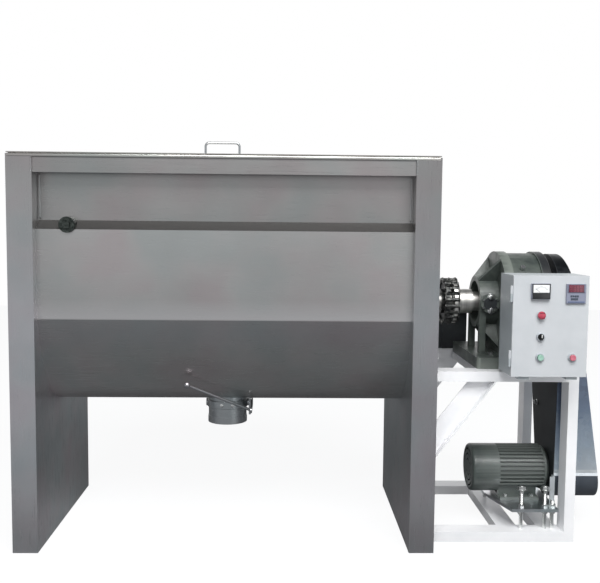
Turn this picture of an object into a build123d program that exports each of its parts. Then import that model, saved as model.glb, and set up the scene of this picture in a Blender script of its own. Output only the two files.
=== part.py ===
from build123d import *
from math import cos, radians, sin, sqrt, tan
import os

os.makedirs("parts", exist_ok=True)

# Millimetres; X runs along the shaft towards the drive, Y to the back, Z up from the floor

# General fits
SEAT_GAP = 0.05
RUNNING_GAP = 0.05
FACE_GAP = 0.3

# End frames
BODY_LENGTH = 1600.0
BODY_DEPTH = 800.0
BODY_HEIGHT = 1500.0
END_WIDTH = 95.0
END_WALL = 5.0
SHAFT_DROP = 565.0

# Trough
TROUGH_WALL = 4.0
RAIL_HEIGHT = 67.0
RAIL_DEPTH = 78.0
RAIL_SETBACK = 6.0
RAIL_WALL = 3.0

# Heating jacket
JACKET_SPACE = 39.0
JACKET_WALL = 3.0
JACKET_DROP = 52.0
JACKET_TOP_DROP = 241.0
CREASE_DROP = 48.0
BELLY_RISE = 123.0
SHOULDER_FALL = 34.0
SOCKET_SETTING = 117.0
SOCKET_RADIUS = 30.0
SOCKET_BORE = 19.0
SOCKET_LENGTH = 50.0
PLUG_HEAD = 24.0

# Lid
SEAL_HEIGHT = 4.0
SEAL_WIDTH = 18.0
SEAL_EDGE = 8.0
LID_THICK = 3.0
LID_EDGE = 2.0
STIFFENER = 25.0
STIFFENER_WALL = 3.0
STIFFENER_SPACING = 450.0
STIFFENER_GAP = 26.0
HANDLE_ROD = 9.0
HANDLE_SPAN = 127.0
HANDLE_RISE = 46.0
HANDLE_BEND = 14.0
HANDLE_SETBACK = 80.0
HINGE_SETTING = 155.0
HINGE_OUT = 24.0
HINGE_PIN = 12.0
HINGE_WALL = 5.0
HINGE_LEAF = 6.0
HINGE_DROP = 45.0
EAR_WIDTH = 18.0
KNUCKLE_WIDTH = 43.0
STRAP_THICK = 4.0
STRAP_LENGTH = 100.0
STRAP_PLAY = 0.5

# Outlet
OUTLET_X = -15.0
SPOUT_RADIUS = 80.0
SPOUT_WALL = 4.0
SPOUT_DROP = 103.0
LIP_RISE = 2.0
LIP_HEIGHT = 28.0
VALVE_DROP = 23.0
COLLAR_WALL = 6.0
COLLAR_HEIGHT = 26.0
BOSS_RADIUS = 16.0
BOSS_LENGTH = 4.0
SPINDLE_RADIUS = 9.0
FLAP_THICK = 6.0
FLAP_GAP = 0.5
STOP_PLATE_THICK = 9.0
STOP_PLATE_WIDTH = 44.0
STOP_PLATE_HEIGHT = 66.0
LEVER_THICK = 6.0
LEVER_PLAY = 2.0
LEVER_ARM = 118.0
LEVER_ARM_FALL = 10.0
LEVER_REACH = 162.0
LEVER_SWEEP = 244.0
LEVER_RISE = 135.0
LEVER_ROD = 12.0
LEVER_BALL = 26.0

# Agitator
SHAFT_RADIUS = 35.0
WEB_HOLE_GAP = 1.0
RIBBON_GAP = 11.0
OUTER_RIBBON_WIDTH = 50.0
RIBBON_STEP = 110.0
INNER_RIBBON_WIDTH = 45.0
RIBBON_THICK = 8.0
RIBBON_TURNS = 1.5
RIBBON_START = 22.0
RIBBON_END_GAP = 25.0
SPOKE_RADIUS = 14.0
BEARING_WIDTH = 180.0
BEARING_THICK = 18.0
BEARING_BOSS_RADIUS = 55.0
BEARING_LENGTH = 60.0
GLAND_RADIUS = 72.0
GLAND_FLANGE_THICK = 12.0
GLAND_BOSS_RADIUS = 52.0
GLAND_LENGTH = 36.0

# Chain coupling
COUPLING_OFFSET = 117.5
CHAIN_PITCH = 25.4
CHAIN_TEETH = 22
STRAND_SPACING = 31.9
TOOTH_WIDTH = 15.0
ROLLER_RADIUS = 7.9
ROLLER_GAP = 0.35
TOOTH_RISE = 6.0
LINK_THICK = 3.0
LINK_HEIGHT = 21.0
COUPLING_HUB_RADIUS = 51.0
SHAFT_HUB_LENGTH = 35.5
DRIVE_HUB_LENGTH = 94.5
LINK_LAP = 8.4
LINK_CORNER = 6.3
SHAFT_END_GAP = 1.0

# Coupling guard
GUARD_SHEET = 3.0
GUARD_SHEET_HEIGHT = 199.0
GUARD_SHEET_START = 60.0
GUARD_SHEET_LENGTH = 212.0
GUARD_SHEET_FOLD = 60.0
GUARD_BAR_SETTING = 98.0
GUARD_BAR_WIDTH = 46.0
GUARD_BAR_THICK = 5.0
GUARD_BAR_HEIGHT = 116.0

# Reducer
HUB_OFFSET = 110.5
HUB_RADIUS = 108.0
HUB_BORE = 86.0
HUB_LENGTH = 79.0
RING_RADIUS = 212.0
RING_THICK = 38.0
DRUM_RADIUS = 205.0
DRUM_LENGTH = 155.0
DRUM_FLANGE = 40.0
INPUT_COVER_RADIUS = 150.0
INPUT_COVER_LENGTH = 18.0
FOOT_LEAD = 38.0
FOOT_THICK = 45.0
FOOT_HALF_DEPTH = 235.0
RIB_THICK = 15.0
LEG_LENGTH = 26.0
LEG_DEPTH = 24.0
LEG_SPREAD = 88.0
OUTPUT_RADIUS = 40.0
OUTPUT_DEPTH = 20.0
CAP_LENGTH = 35.0
BOSS_PAD_RADIUS = 38.5
BOSS_PAD_SETTING = 39.5
BOSS_PAD_RISE = 6.0
SIDE_COVER_RADIUS = 27.0
SIDE_COVER_RISE = 5.0
BOLT_CIRCLE = 32.7
BOLT_COUNT = 6
BOLT_FLATS = 9.0
BOLT_HEAD = 7.0
FOOT_BOLT_SPREAD = 160.0
FOOT_BOLT_SETTING = 32.0
REAR_BOLT_SPREAD = 215.0
FOOT_BOLT_FLATS = 24.0
FOOT_BOLT_HEAD = 13.0
DRUM_PLUG_RADIUS = 10.0
DRUM_PLUG_RISE = 14.0
INPUT_SHAFT_RADIUS = 21.0
INPUT_DEPTH = 30.0

# Belt drive and its guard
BACK_PLATE_GAP = 8.0
BACK_PLATE_THICK = 2.0
PULLEY_GAP = 4.0
PULLEY_WIDTH = 35.0
PULLEY_RADIUS = 177.5
SMALL_PULLEY_RADIUS = 62.5
PULLEY_RIM = 26.0
PULLEY_WEB = 14.0
PULLEY_HUB_RADIUS = 45.0
BELT_COUNT = 2
BELT_SPACING = 15.0
GROOVE_HALF_WIDTH = 6.8
GROOVE_DEPTH = 12.0
GROOVE_ANGLE = 18.0
BELT_DEPTH = 10.0
GUARD_CLEARANCE = 25.5
GUARD_FOOT_CLEARANCE = 55.5
GUARD_WALL = 2.5
GUARD_DEPTH = 42.0
GUARD_FLARE = 0.155
GUARD_SEAM_RISE = 10.0
GUARD_JOINT = 0.3
SHAFT_HOLE_GAP = 6.0
SHAFT_END_OUT = 4.0

# Motor
MOTOR_OFFSET = 70.0
MOTOR_Z = 240.0
MOTOR_GAP = 4.0
MOTOR_RADIUS = 86.0
FIN_HEIGHT = 12.0
FIN_THICK = 3.5
FIN_COUNT = 36
BARE_ANGLE = 50.0
SHIELD_LENGTH = 22.0
SHIELD_RADIUS = 90.0
HOUSING_LENGTH = 184.0
FAN_COVER_LENGTH = 113.0
FAN_COVER_WALL = 2.0
GRILLE_SLOT = 7.0
GRILLE_RINGS = 3
FAN_RADIUS = 78.0
FAN_LENGTH = 28.0
FAN_BLADES = 8
MOTOR_SHAFT_RADIUS = 14.0
MOTOR_FOOT_LENGTH = 160.0
MOTOR_FOOT_SETTING = 0.0
MOTOR_FOOT_DROP = 14.0
MOTOR_FOOT_WEBS = 103.2
MOTOR_FOOT_SPAN = 196.0
MOTOR_FOOT_THICK = 12.0
MOTOR_FOOT_WEB = 12.0
MOTOR_FOOT_SPREAD = 108.0
MOTOR_FOOT_BOLT = 18.0
TERMINAL_LENGTH = 110.0
TERMINAL_HEIGHT = 90.0
TERMINAL_DEPTH = 52.0
PLATE_THICK = 12.0
PLATE_SETBACK = 15.0
PLATE_DEPTH = 395.0
PLATE_LENGTH = 247.0
PLATE_CUT_X = 61.0
PLATE_CUT_Y = 205.0
ADJUSTER_RADIUS = 8.0
ADJUSTER_SETBACK = 45.0
ADJUSTER_RISE = 85.0
ADJUSTER_FIRST = 141.0
ADJUSTER_SPACING = 95.0
NUT_FLATS = 24.0
NUT_HEIGHT = 12.0
PLATE_PIN_RADIUS = 7.0
PLATE_LUG_THICK = 12.0
PLATE_LUG_RADIUS = 16.0

# Drive frame
FRAME_LENGTH = 580.0
REDUCER_HEIGHT = 250.0
TUBE_WIDE = 80.0
TUBE_NARROW = 40.0
TUBE_WALL = 3.0
FRAME_LEAD = 290.0
FRAME_DEPTH = 650.0
TOP_CROSS_SETTING = 200.0
TOP_CROSS_SPACING = 240.0
LOW_CROSS_SETTING = 290.0
LOW_CROSS_SPACING = 162.0
BRACE_ANGLE = 52.5
BRACE_REACH = 255.0
BRACE_WALL = 5.0
BRACE_FLANGE = 40.0
BRACKET_WIDE = 32.0
BRACKET_DEEP = 20.0
BRACKET_WALL = 4.0

# Control box
BOX_WIDTH = 280.0
BOX_HEIGHT = 375.0
BOX_DEPTH = 170.0
BOX_WALL = 2.0
BOX_SETTING = 40.0
BOX_BAR_THICK = 12.0
BOX_BAR_WIDE = 40.0
BOX_BAR_SPACING = 180.0
BOX_BAR_OVERLAP = 50.0
BOX_BAR_SETBACK = 10.0
DOOR_THICK = 12.0
DOOR_RIM = 14.0
BOX_PIN_RADIUS = 2.5
BOX_KNUCKLE_RADIUS = 5.0
BOX_HINGE_LENGTH = 60.0
BOX_HINGE_SPACING = 240.0
METER_WIDE = 69.0
METER_HIGH = 57.0
METER_RISE = 12.0
METER_X = 99.5
METER_Z = 317.5
INSTRUMENT_INSET = 4.0
INSTRUMENT_DEPTH = 60.0
CONTROLLER_SIDE = 72.0
CONTROLLER_RISE = 9.0
CONTROLLER_X = 230.0
CONTROLLER_Z = 309.5
SWITCH_X = 105.0
LAMP_Z = 229.0
SELECTOR_Z = 149.0
BUTTON_Z = 73.0
STOP_X = 225.0
BEZEL_RADIUS = 15.0
BEZEL_RISE = 6.0
SWITCH_BARREL = 13.0
SWITCH_BORE = 11.5
SWITCH_DEPTH = 45.0
CAP_RADIUS = 11.0
CAP_RISE = 7.0
CAP_DEPTH = 20.0
BUTTON_TRAVEL = 5.0
GEAR_PLATE_INSET = 20.0
GEAR_PLATE_THICK = 3.0
CONTACTOR_X = 30.0
CONTACTOR_WIDE = 80.0
CONTACTOR_HIGH = 90.0
CONTACTOR_DEEP = 70.0
BREAKER_X = 130.0
BREAKER_WIDE = 70.0
BREAKER_HIGH = 80.0
BREAKER_DEEP = 60.0
GEAR_ROW_Z = 180.0
TERMINAL_ROW_Z = 40.0
TERMINAL_ROW_INSET = 20.0
TERMINAL_ROW_HIGH = 35.0

# Places that follow from the sizes
BODY_END = BODY_LENGTH / 2
WEB_X = BODY_END - END_WIDTH
MID_Y = BODY_DEPTH / 2
SHAFT_HEIGHT = BODY_HEIGHT - SHAFT_DROP
TROUGH_RADIUS = MID_Y - RAIL_SETBACK - RAIL_DEPTH
TROUGH_OUTER = TROUGH_RADIUS + TROUGH_WALL
JACKET_OUTER = TROUGH_OUTER + JACKET_SPACE + JACKET_WALL
JACKET_BOTTOM = SHAFT_HEIGHT - JACKET_DROP - JACKET_OUTER
JACKET_TOP = BODY_HEIGHT - JACKET_TOP_DROP
CREASE_Z = SHAFT_HEIGHT - CREASE_DROP
BELLY_Z = CREASE_Z + BELLY_RISE
SOCKET_X = -WEB_X + SOCKET_SETTING
SOCKET_Z = JACKET_TOP - SHOULDER_FALL / 2
RAIL_Z = BODY_HEIGHT - RAIL_HEIGHT
LID_Z = BODY_HEIGHT + SEAL_HEIGHT
LID_TOP = LID_Z + LID_THICK
KNUCKLE_RADIUS = HINGE_PIN / 2 + HINGE_WALL
HINGE_Y = BODY_DEPTH - RAIL_SETBACK + HINGE_OUT
HINGE_Z = LID_TOP + STRAP_THICK - KNUCKLE_RADIUS
HINGE_SPACING = WEB_X - HINGE_SETTING
HINGE_PLACES = (-HINGE_SPACING, 0, HINGE_SPACING)
SPOUT_BOTTOM = JACKET_BOTTOM - SPOUT_DROP
VALVE_HEIGHT = JACKET_BOTTOM - VALVE_DROP
OUTER_RIBBON_RADIUS = TROUGH_RADIUS - RIBBON_GAP
INNER_RIBBON_RADIUS = OUTER_RIBBON_RADIUS - RIBBON_STEP
RIBBON_LENGTH = WEB_X - RIBBON_END_GAP - RIBBON_START
RIBBON_PITCH = RIBBON_LENGTH / RIBBON_TURNS
BEARING_END = BODY_END + BEARING_LENGTH
COUPLING_X = BODY_END + COUPLING_OFFSET
CHAIN_RADIUS = CHAIN_PITCH / (2 * sin(radians(180 / CHAIN_TEETH)))
HUB_X = COUPLING_X + HUB_OFFSET
RING_X = HUB_X + HUB_LENGTH
DRUM_X = RING_X + RING_THICK
DRUM_END = DRUM_X + DRUM_LENGTH
COVER_END = DRUM_END + INPUT_COVER_LENGTH
BACK_PLATE_X = COVER_END + BACK_PLATE_GAP
GUARD_X = BACK_PLATE_X + BACK_PLATE_THICK
PULLEY_X = GUARD_X + PULLEY_GAP
PULLEY_END = PULLEY_X + PULLEY_WIDTH
GUARD_TOP = SHAFT_HEIGHT + PULLEY_RADIUS + GUARD_CLEARANCE
GUARD_SEAM = MOTOR_Z + GUARD_SEAM_RISE
FRAME_FRONT = MID_Y - FRAME_LEAD
FRAME_HEIGHT = SHAFT_HEIGHT - REDUCER_HEIGHT
MOTOR_Y = MID_Y - MOTOR_OFFSET
MOTOR_END = BACK_PLATE_X - MOTOR_GAP
HOUSING_END = MOTOR_END - SHIELD_LENGTH
HOUSING_X = HOUSING_END - HOUSING_LENGTH
FAN_COVER_X = HOUSING_X - FAN_COVER_LENGTH
FIN_RADIUS = MOTOR_RADIUS + FIN_HEIGHT
MOTOR_FOOT_Z = MOTOR_Z - FIN_RADIUS - MOTOR_FOOT_DROP
PLATE_TOP = MOTOR_FOOT_Z
PLATE_X = MOTOR_END - PLATE_LENGTH
PLATE_FRONT = FRAME_FRONT + PLATE_SETBACK
ADJUSTER_Y = FRAME_FRONT + ADJUSTER_SETBACK
PLATE_BACK = PLATE_FRONT + PLATE_DEPTH
FRAME_END = BODY_END + FRAME_LENGTH
FRAME_BACK = FRAME_FRONT + FRAME_DEPTH
RAIL_UNDER = FRAME_HEIGHT - TUBE_NARROW
FOOT_X = HUB_X - FOOT_LEAD
FOOT_TOP = FRAME_HEIGHT + FOOT_THICK
PAD_X = HUB_X + BOSS_PAD_SETTING
PAD_FACE = MID_Y - HUB_RADIUS - BOSS_PAD_RISE
BOX_X = FRAME_END - BOX_SETTING - BOX_WIDTH
BOX_Z = FRAME_HEIGHT + BOX_BAR_THICK
BOX_BACK = FRAME_FRONT
DOOR_Y = BOX_BACK - BOX_DEPTH
BOX_Y = DOOR_Y + DOOR_THICK
BOX_HINGE_X = BOX_X - BOX_KNUCKLE_RADIUS
BOX_HINGE_Y = DOOR_Y + DOOR_THICK / 2
SPINDLE_LEFT = OUTLET_X - SPOUT_RADIUS - COLLAR_WALL - BOSS_LENGTH
STOP_PLATE_X = OUTLET_X + SPOUT_RADIUS + COLLAR_WALL + BOSS_LENGTH
LEVER_X = STOP_PLATE_X + STOP_PLATE_THICK + LEVER_PLAY
GROOVE_SLOPE = tan(radians(GROOVE_ANGLE))
AXLE = (MID_Y, SHAFT_HEIGHT)
VALVE_AXLE = (MID_Y, VALVE_HEIGHT)
HINGE_AXLE = (HINGE_Y, HINGE_Z)
MOTOR_AXLE = (MOTOR_Y, MOTOR_Z)


def box(x0, x1, y0, y1, z0, z1):
    """Block between two opposite corners."""
    block = Box(abs(x1 - x0), abs(y1 - y0), abs(z1 - z0))
    return Pos((x0 + x1) / 2, (y0 + y1) / 2, (z0 + z1) / 2) * block


def rod_x(radius, x0, x1, axle):
    """Round bar along X about an axle given by its Y and Z."""
    return Pos((x0 + x1) / 2, axle[0], axle[1]) * Rot(0, 90, 0) * Cylinder(radius, abs(x1 - x0))


def rod_y(radius, y0, y1, x, z):
    """Round bar along Y."""
    return Pos(x, (y0 + y1) / 2, z) * Rot(90, 0, 0) * Cylinder(radius, abs(y1 - y0))


def rod_z(radius, z0, z1, x, y):
    """Round bar along Z."""
    return Pos(x, y, (z0 + z1) / 2) * Cylinder(radius, abs(z1 - z0))


def yz_plane(x):
    """Plane across the shaft, drawn in Y and Z."""
    return Plane(origin=(x, 0, 0), x_dir=(0, 1, 0), z_dir=(1, 0, 0))


def along_x(profile, x0, x1):
    """Prism of a profile drawn in Y and Z."""
    return extrude(yz_plane(x0) * profile, amount=x1 - x0)


def along_y(profile, y0, y1):
    """Prism of a profile drawn in X and Z."""
    plane = Plane(origin=(0, y0, 0), x_dir=(1, 0, 0), z_dir=(0, -1, 0))
    return extrude(plane * profile, amount=y0 - y1)


def turned(profile, axle):
    """Turned piece about an axle along X; the profile is drawn in X and radius."""
    plane = Plane(origin=(0, axle[0], axle[1]), x_dir=(1, 0, 0), z_dir=(0, -1, 0))
    return revolve(plane * profile, axis=Axis((0, axle[0], axle[1]), (1, 0, 0)))


def mirrored(shape):
    """The same piece at the other end of the body."""
    return mirror(shape, about=Plane.YZ)


def at_back(shape):
    """The same piece on the rear side of the body."""
    return mirror(shape, about=Plane(origin=(0, MID_Y, 0), z_dir=(0, 1, 0)))


def group(*parts):
    """Several solids kept together as one set."""
    return Compound([solid for part in parts for solid in part.solids()])


def hexagon(flats):
    """Hexagon over flats."""
    return RegularPolygon(flats / sqrt(3), 6)


# Body


def end_frame():
    """Hollow end frame; its inner web closes the trough."""
    block = box(WEB_X, BODY_END, 0, BODY_DEPTH, 0, BODY_HEIGHT)
    low_x = WEB_X + END_WALL
    high_x = BODY_END - END_WALL
    hollow = box(low_x, high_x, END_WALL, BODY_DEPTH - END_WALL, END_WALL, BODY_HEIGHT - END_WALL)
    hole = rod_x(SHAFT_RADIUS + WEB_HOLE_GAP, WEB_X - 1, BODY_END + 1, AXLE)
    return block - hollow - hole


def u_profile(radius, axis_z, top_z):
    """Round bottom with straight sides up to the top."""
    sides = Pos(MID_Y, (axis_z + top_z) / 2) * Rectangle(2 * radius, top_z - axis_z)
    return Pos(MID_Y, axis_z) * Circle(radius) + sides


def jacket_belly(inset):
    """Oval underside of the jacket, meeting the flat sides in a crease."""
    height = BELLY_Z - JACKET_BOTTOM - inset
    half_width = (JACKET_OUTER - inset) / sqrt(1 - (BELLY_RISE / height) ** 2)
    oval = Pos(MID_Y, BELLY_Z) * Ellipse(half_width, height)
    below = Pos(MID_Y, CREASE_Z - height / 2) * Rectangle(2 * half_width, height)
    return oval & below


def jacket_profile(inset):
    """Outline of the jacket: oval belly, flat sides and sloping shoulders."""
    side = JACKET_OUTER - inset
    neck = TROUGH_OUTER - inset
    top_z = JACKET_TOP - inset / 2
    shoulder_z = top_z - SHOULDER_FALL
    upper = Polygon(
        (MID_Y - side, CREASE_Z),
        (MID_Y + side, CREASE_Z),
        (MID_Y + side, shoulder_z),
        (MID_Y + neck, top_z),
        (MID_Y - neck, top_z),
        (MID_Y - side, shoulder_z),
        align=None,
    )
    return jacket_belly(inset) + upper


def trough_shell():
    """Round-bottomed trough between the two inner webs."""
    outside = u_profile(TROUGH_OUTER, SHAFT_HEIGHT, RAIL_Z)
    inside = u_profile(TROUGH_RADIUS, SHAFT_HEIGHT, RAIL_Z)
    shell = along_x(outside - inside, -WEB_X, WEB_X)
    hole = rod_z(SPOUT_RADIUS - SPOUT_WALL, SPOUT_BOTTOM, SHAFT_HEIGHT, OUTLET_X, MID_Y)
    return shell - hole


def jacket_shell():
    """Heating jacket with sloping shoulders, let through by the spout and the socket."""
    trough = u_profile(TROUGH_OUTER, SHAFT_HEIGHT, JACKET_TOP + JACKET_WALL)
    sheet = jacket_profile(0) - jacket_profile(JACKET_WALL) - trough
    shell = along_x(sheet, -WEB_X, WEB_X)
    hole = rod_z(SPOUT_RADIUS + SEAT_GAP, SPOUT_BOTTOM, SHAFT_HEIGHT, OUTLET_X, MID_Y)
    port = rod_y(SOCKET_BORE, RAIL_SETBACK, MID_Y - TROUGH_OUTER, SOCKET_X, SOCKET_Z)
    return shell - hole - port


def jacket_socket():
    """Filling socket welded on the shoulder."""
    wall = MID_Y - TROUGH_OUTER
    face = wall - SOCKET_LENGTH
    tube = rod_y(SOCKET_RADIUS, face, wall, SOCKET_X, SOCKET_Z)
    bore = rod_y(SOCKET_BORE, face - 1, wall, SOCKET_X, SOCKET_Z)
    jacket = along_x(jacket_profile(0), SOCKET_X - 2 * SOCKET_RADIUS, SOCKET_X + 2 * SOCKET_RADIUS)
    return tube - bore - jacket


def socket_plug():
    """Screwed plug with a square head."""
    face = MID_Y - TROUGH_OUTER - SOCKET_LENGTH
    shank = rod_y(SOCKET_BORE - SEAT_GAP, face, face + SOCKET_LENGTH / 3, SOCKET_X, SOCKET_Z)
    rim = rod_y(SOCKET_RADIUS, face - JACKET_WALL, face, SOCKET_X, SOCKET_Z)
    half = PLUG_HEAD / 2
    head = box(
        SOCKET_X - half,
        SOCKET_X + half,
        face - JACKET_WALL - half,
        face - JACKET_WALL,
        SOCKET_Z - half,
        SOCKET_Z + half,
    )
    return shank + rim + head


def top_rails():
    """Hollow rails along both long sides of the mouth."""
    centre_y = RAIL_SETBACK + RAIL_DEPTH / 2
    centre_z = RAIL_Z + RAIL_HEIGHT / 2
    outside = Rectangle(RAIL_DEPTH, RAIL_HEIGHT)
    inside = Rectangle(RAIL_DEPTH - 2 * RAIL_WALL, RAIL_HEIGHT - 2 * RAIL_WALL)
    rail = along_x(Pos(centre_y, centre_z) * (outside - inside), -WEB_X, WEB_X)
    return group(rail, at_back(rail))


def lid_seal():
    """Rubber strip round the mouth."""
    long_side = BODY_LENGTH - 2 * SEAL_EDGE
    short_side = BODY_DEPTH - 2 * SEAL_EDGE
    ring = Rectangle(long_side, short_side)
    ring -= Rectangle(long_side - 2 * SEAL_WIDTH, short_side - 2 * SEAL_WIDTH)
    return extrude(Pos(0, MID_Y, BODY_HEIGHT) * ring, amount=SEAL_HEIGHT)


def lid_plate():
    """Flat sheet over the whole mouth."""
    half = BODY_END - LID_EDGE
    return box(-half, half, LID_EDGE, BODY_DEPTH - LID_EDGE, LID_Z, LID_TOP)


def lid_stiffeners():
    """Angles welded across the underside of the lid."""
    front = MID_Y - TROUGH_RADIUS + STIFFENER_GAP
    back = MID_Y + TROUGH_RADIUS - STIFFENER_GAP
    bars = []
    for step in (-1, 0, 1):
        x = step * STIFFENER_SPACING
        flat = box(x, x + STIFFENER, front, back, LID_Z - STIFFENER_WALL, LID_Z)
        upright = box(x, x + STIFFENER_WALL, front, back, LID_Z - STIFFENER, LID_Z)
        bars.append(flat + upright)
    return group(*bars)


def lid_handle():
    """Round bar bent to a low arch near the front edge."""
    left = OUTLET_X - HANDLE_SPAN / 2
    right = OUTLET_X + HANDLE_SPAN / 2
    top = LID_TOP + HANDLE_RISE
    path = FilletPolyline(
        (left, HANDLE_SETBACK, LID_TOP),
        (left, HANDLE_SETBACK, top),
        (right, HANDLE_SETBACK, top),
        (right, HANDLE_SETBACK, LID_TOP),
        radius=HANDLE_BEND,
    )
    start = Plane(origin=path @ 0, z_dir=path % 0)
    return sweep(start * Circle(HANDLE_ROD / 2), path=path)


def lid_hinge_brackets():
    """Ears on the rear rail that hold the lid's pins."""
    rail = BODY_DEPTH - RAIL_SETBACK
    low = HINGE_Z - HINGE_DROP
    high = BODY_HEIGHT - HINGE_LEAF
    inner = KNUCKLE_WIDTH / 2 + STRAP_PLAY
    outer = inner + EAR_WIDTH
    web = Polygon(
        (rail, low),
        (HINGE_Y, HINGE_Z - KNUCKLE_RADIUS),
        HINGE_AXLE,
        (rail, high),
        align=None,
    )
    ear = web + Pos(*HINGE_AXLE) * Circle(KNUCKLE_RADIUS)
    gap_back = HINGE_Y + KNUCKLE_RADIUS
    gap_top = HINGE_Z + KNUCKLE_RADIUS
    brackets = []
    for x in HINGE_PLACES:
        leaf = box(x - outer, x + outer, rail, rail + HINGE_LEAF, low, high)
        ears = along_x(ear, x - outer, x + outer)
        gap = box(x - inner, x + inner, rail + HINGE_LEAF, gap_back, low, gap_top)
        bore = rod_x(HINGE_PIN / 2 + SEAT_GAP, x - outer, x + outer, HINGE_AXLE)
        brackets.append(leaf + ears - gap - bore)
    return group(*brackets)


def lid_hinge_pins():
    """Pins fixed in the ears."""
    half = KNUCKLE_WIDTH / 2 + STRAP_PLAY + EAR_WIDTH
    return group(*[rod_x(HINGE_PIN / 2, x - half, x + half, HINGE_AXLE) for x in HINGE_PLACES])


def lid_hinge_straps():
    """Straps from the lid to the knuckles that turn on the pins."""
    half = KNUCKLE_WIDTH / 2
    straps = []
    for x in HINGE_PLACES:
        strap = box(x - half, x + half, HINGE_Y - STRAP_LENGTH, HINGE_Y, LID_TOP, LID_TOP + STRAP_THICK)
        knuckle = rod_x(KNUCKLE_RADIUS, x - half, x + half, HINGE_AXLE)
        bore = rod_x(HINGE_PIN / 2 + RUNNING_GAP, x - half, x + half, HINGE_AXLE)
        straps.append(strap + knuckle - bore)
    return group(*straps)


# Outlet


def outlet_spout():
    """Discharge tube saddled to the bottom of the trough, with a raised lip for a sleeve."""
    tube = rod_z(SPOUT_RADIUS, SPOUT_BOTTOM, SHAFT_HEIGHT, OUTLET_X, MID_Y)
    lip_top = SPOUT_BOTTOM + LIP_HEIGHT
    tube += rod_z(SPOUT_RADIUS + LIP_RISE, SPOUT_BOTTOM, lip_top, OUTLET_X, MID_Y)
    bore = rod_z(SPOUT_RADIUS - SPOUT_WALL, SPOUT_BOTTOM - 1, SHAFT_HEIGHT, OUTLET_X, MID_Y)
    reach = SPOUT_RADIUS * 2
    saddle = rod_x(TROUGH_OUTER + SEAT_GAP, OUTLET_X - reach, OUTLET_X + reach, AXLE)
    spindle = rod_x(SPINDLE_RADIUS + RUNNING_GAP, OUTLET_X - reach, OUTLET_X + reach, VALVE_AXLE)
    return tube - bore - saddle - spindle


def outlet_collar():
    """Band round the spout with a bearing boss at each side and the lever's stop plate."""
    low = VALVE_HEIGHT - COLLAR_HEIGHT / 2
    high = VALVE_HEIGHT + COLLAR_HEIGHT / 2
    band = rod_z(SPOUT_RADIUS + COLLAR_WALL, low, high, OUTLET_X, MID_Y)
    bosses = rod_x(BOSS_RADIUS, SPINDLE_LEFT, STOP_PLATE_X, VALVE_AXLE)
    plate_top = VALVE_HEIGHT + BOSS_RADIUS
    plate = box(
        STOP_PLATE_X,
        STOP_PLATE_X + STOP_PLATE_THICK,
        MID_Y - STOP_PLATE_WIDTH / 2,
        MID_Y + STOP_PLATE_WIDTH / 2,
        plate_top - STOP_PLATE_HEIGHT,
        plate_top,
    )
    spout = rod_z(SPOUT_RADIUS + SEAT_GAP, SPOUT_BOTTOM, SHAFT_HEIGHT, OUTLET_X, MID_Y)
    spindle = rod_x(SPINDLE_RADIUS + RUNNING_GAP, SPINDLE_LEFT, LEVER_X, VALVE_AXLE)
    return band + bosses + plate - spout - spindle


def outlet_flap():
    """Round flap on the spindle that opens and shuts the spout."""
    radius = SPOUT_RADIUS - SPOUT_WALL - FLAP_GAP
    disc = rod_z(radius, VALVE_HEIGHT - FLAP_THICK / 2, VALVE_HEIGHT + FLAP_THICK / 2, OUTLET_X, MID_Y)
    spindle = rod_x(SPINDLE_RADIUS, SPINDLE_LEFT, LEVER_X + LEVER_THICK, VALVE_AXLE)
    return disc + spindle


def outlet_lever():
    """Flat crank on the spindle and a slanting round handle across the front."""
    middle_x = LEVER_X + LEVER_THICK / 2
    elbow_y = MID_Y - LEVER_ARM
    elbow_z = VALVE_HEIGHT - LEVER_ARM_FALL
    ends = (Pos(MID_Y, VALVE_HEIGHT) * Circle(BOSS_RADIUS)).edges()
    ends += (Pos(elbow_y, elbow_z) * Circle(LEVER_ROD)).edges()
    crank = along_x(make_hull(ends), LEVER_X, LEVER_X + LEVER_THICK)
    crank -= rod_x(SPINDLE_RADIUS + SEAT_GAP, LEVER_X - 1, LEVER_X + LEVER_THICK + 1, VALVE_AXLE)
    elbow = Vector(middle_x, elbow_y, elbow_z)
    tip = elbow + Vector(-LEVER_SWEEP, -LEVER_REACH, LEVER_RISE)
    line = Line(elbow, tip)
    handle = sweep(Plane(origin=elbow, z_dir=tip - elbow) * Circle(LEVER_ROD / 2), path=line)
    ball = Pos(*tip) * Sphere(LEVER_BALL / 2)
    return crank + handle + ball


# Agitator


def ribbon(radius, width, start_angle, lefthand):
    """Flat bar wound on edge about the shaft, from the middle to the drive end."""
    path = Helix(RIBBON_PITCH, RIBBON_LENGTH, radius - width / 2, lefthand=lefthand)
    start = path @ 0
    frame = Plane(origin=start, z_dir=path % 0, x_dir=(start.X, start.Y, 0))
    strip = sweep(frame * Rectangle(width, RIBBON_THICK), path=path, is_frenet=True)
    return Pos(RIBBON_START, *AXLE) * Rot(start_angle, 0, 0) * Rot(0, 90, 0) * strip


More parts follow.
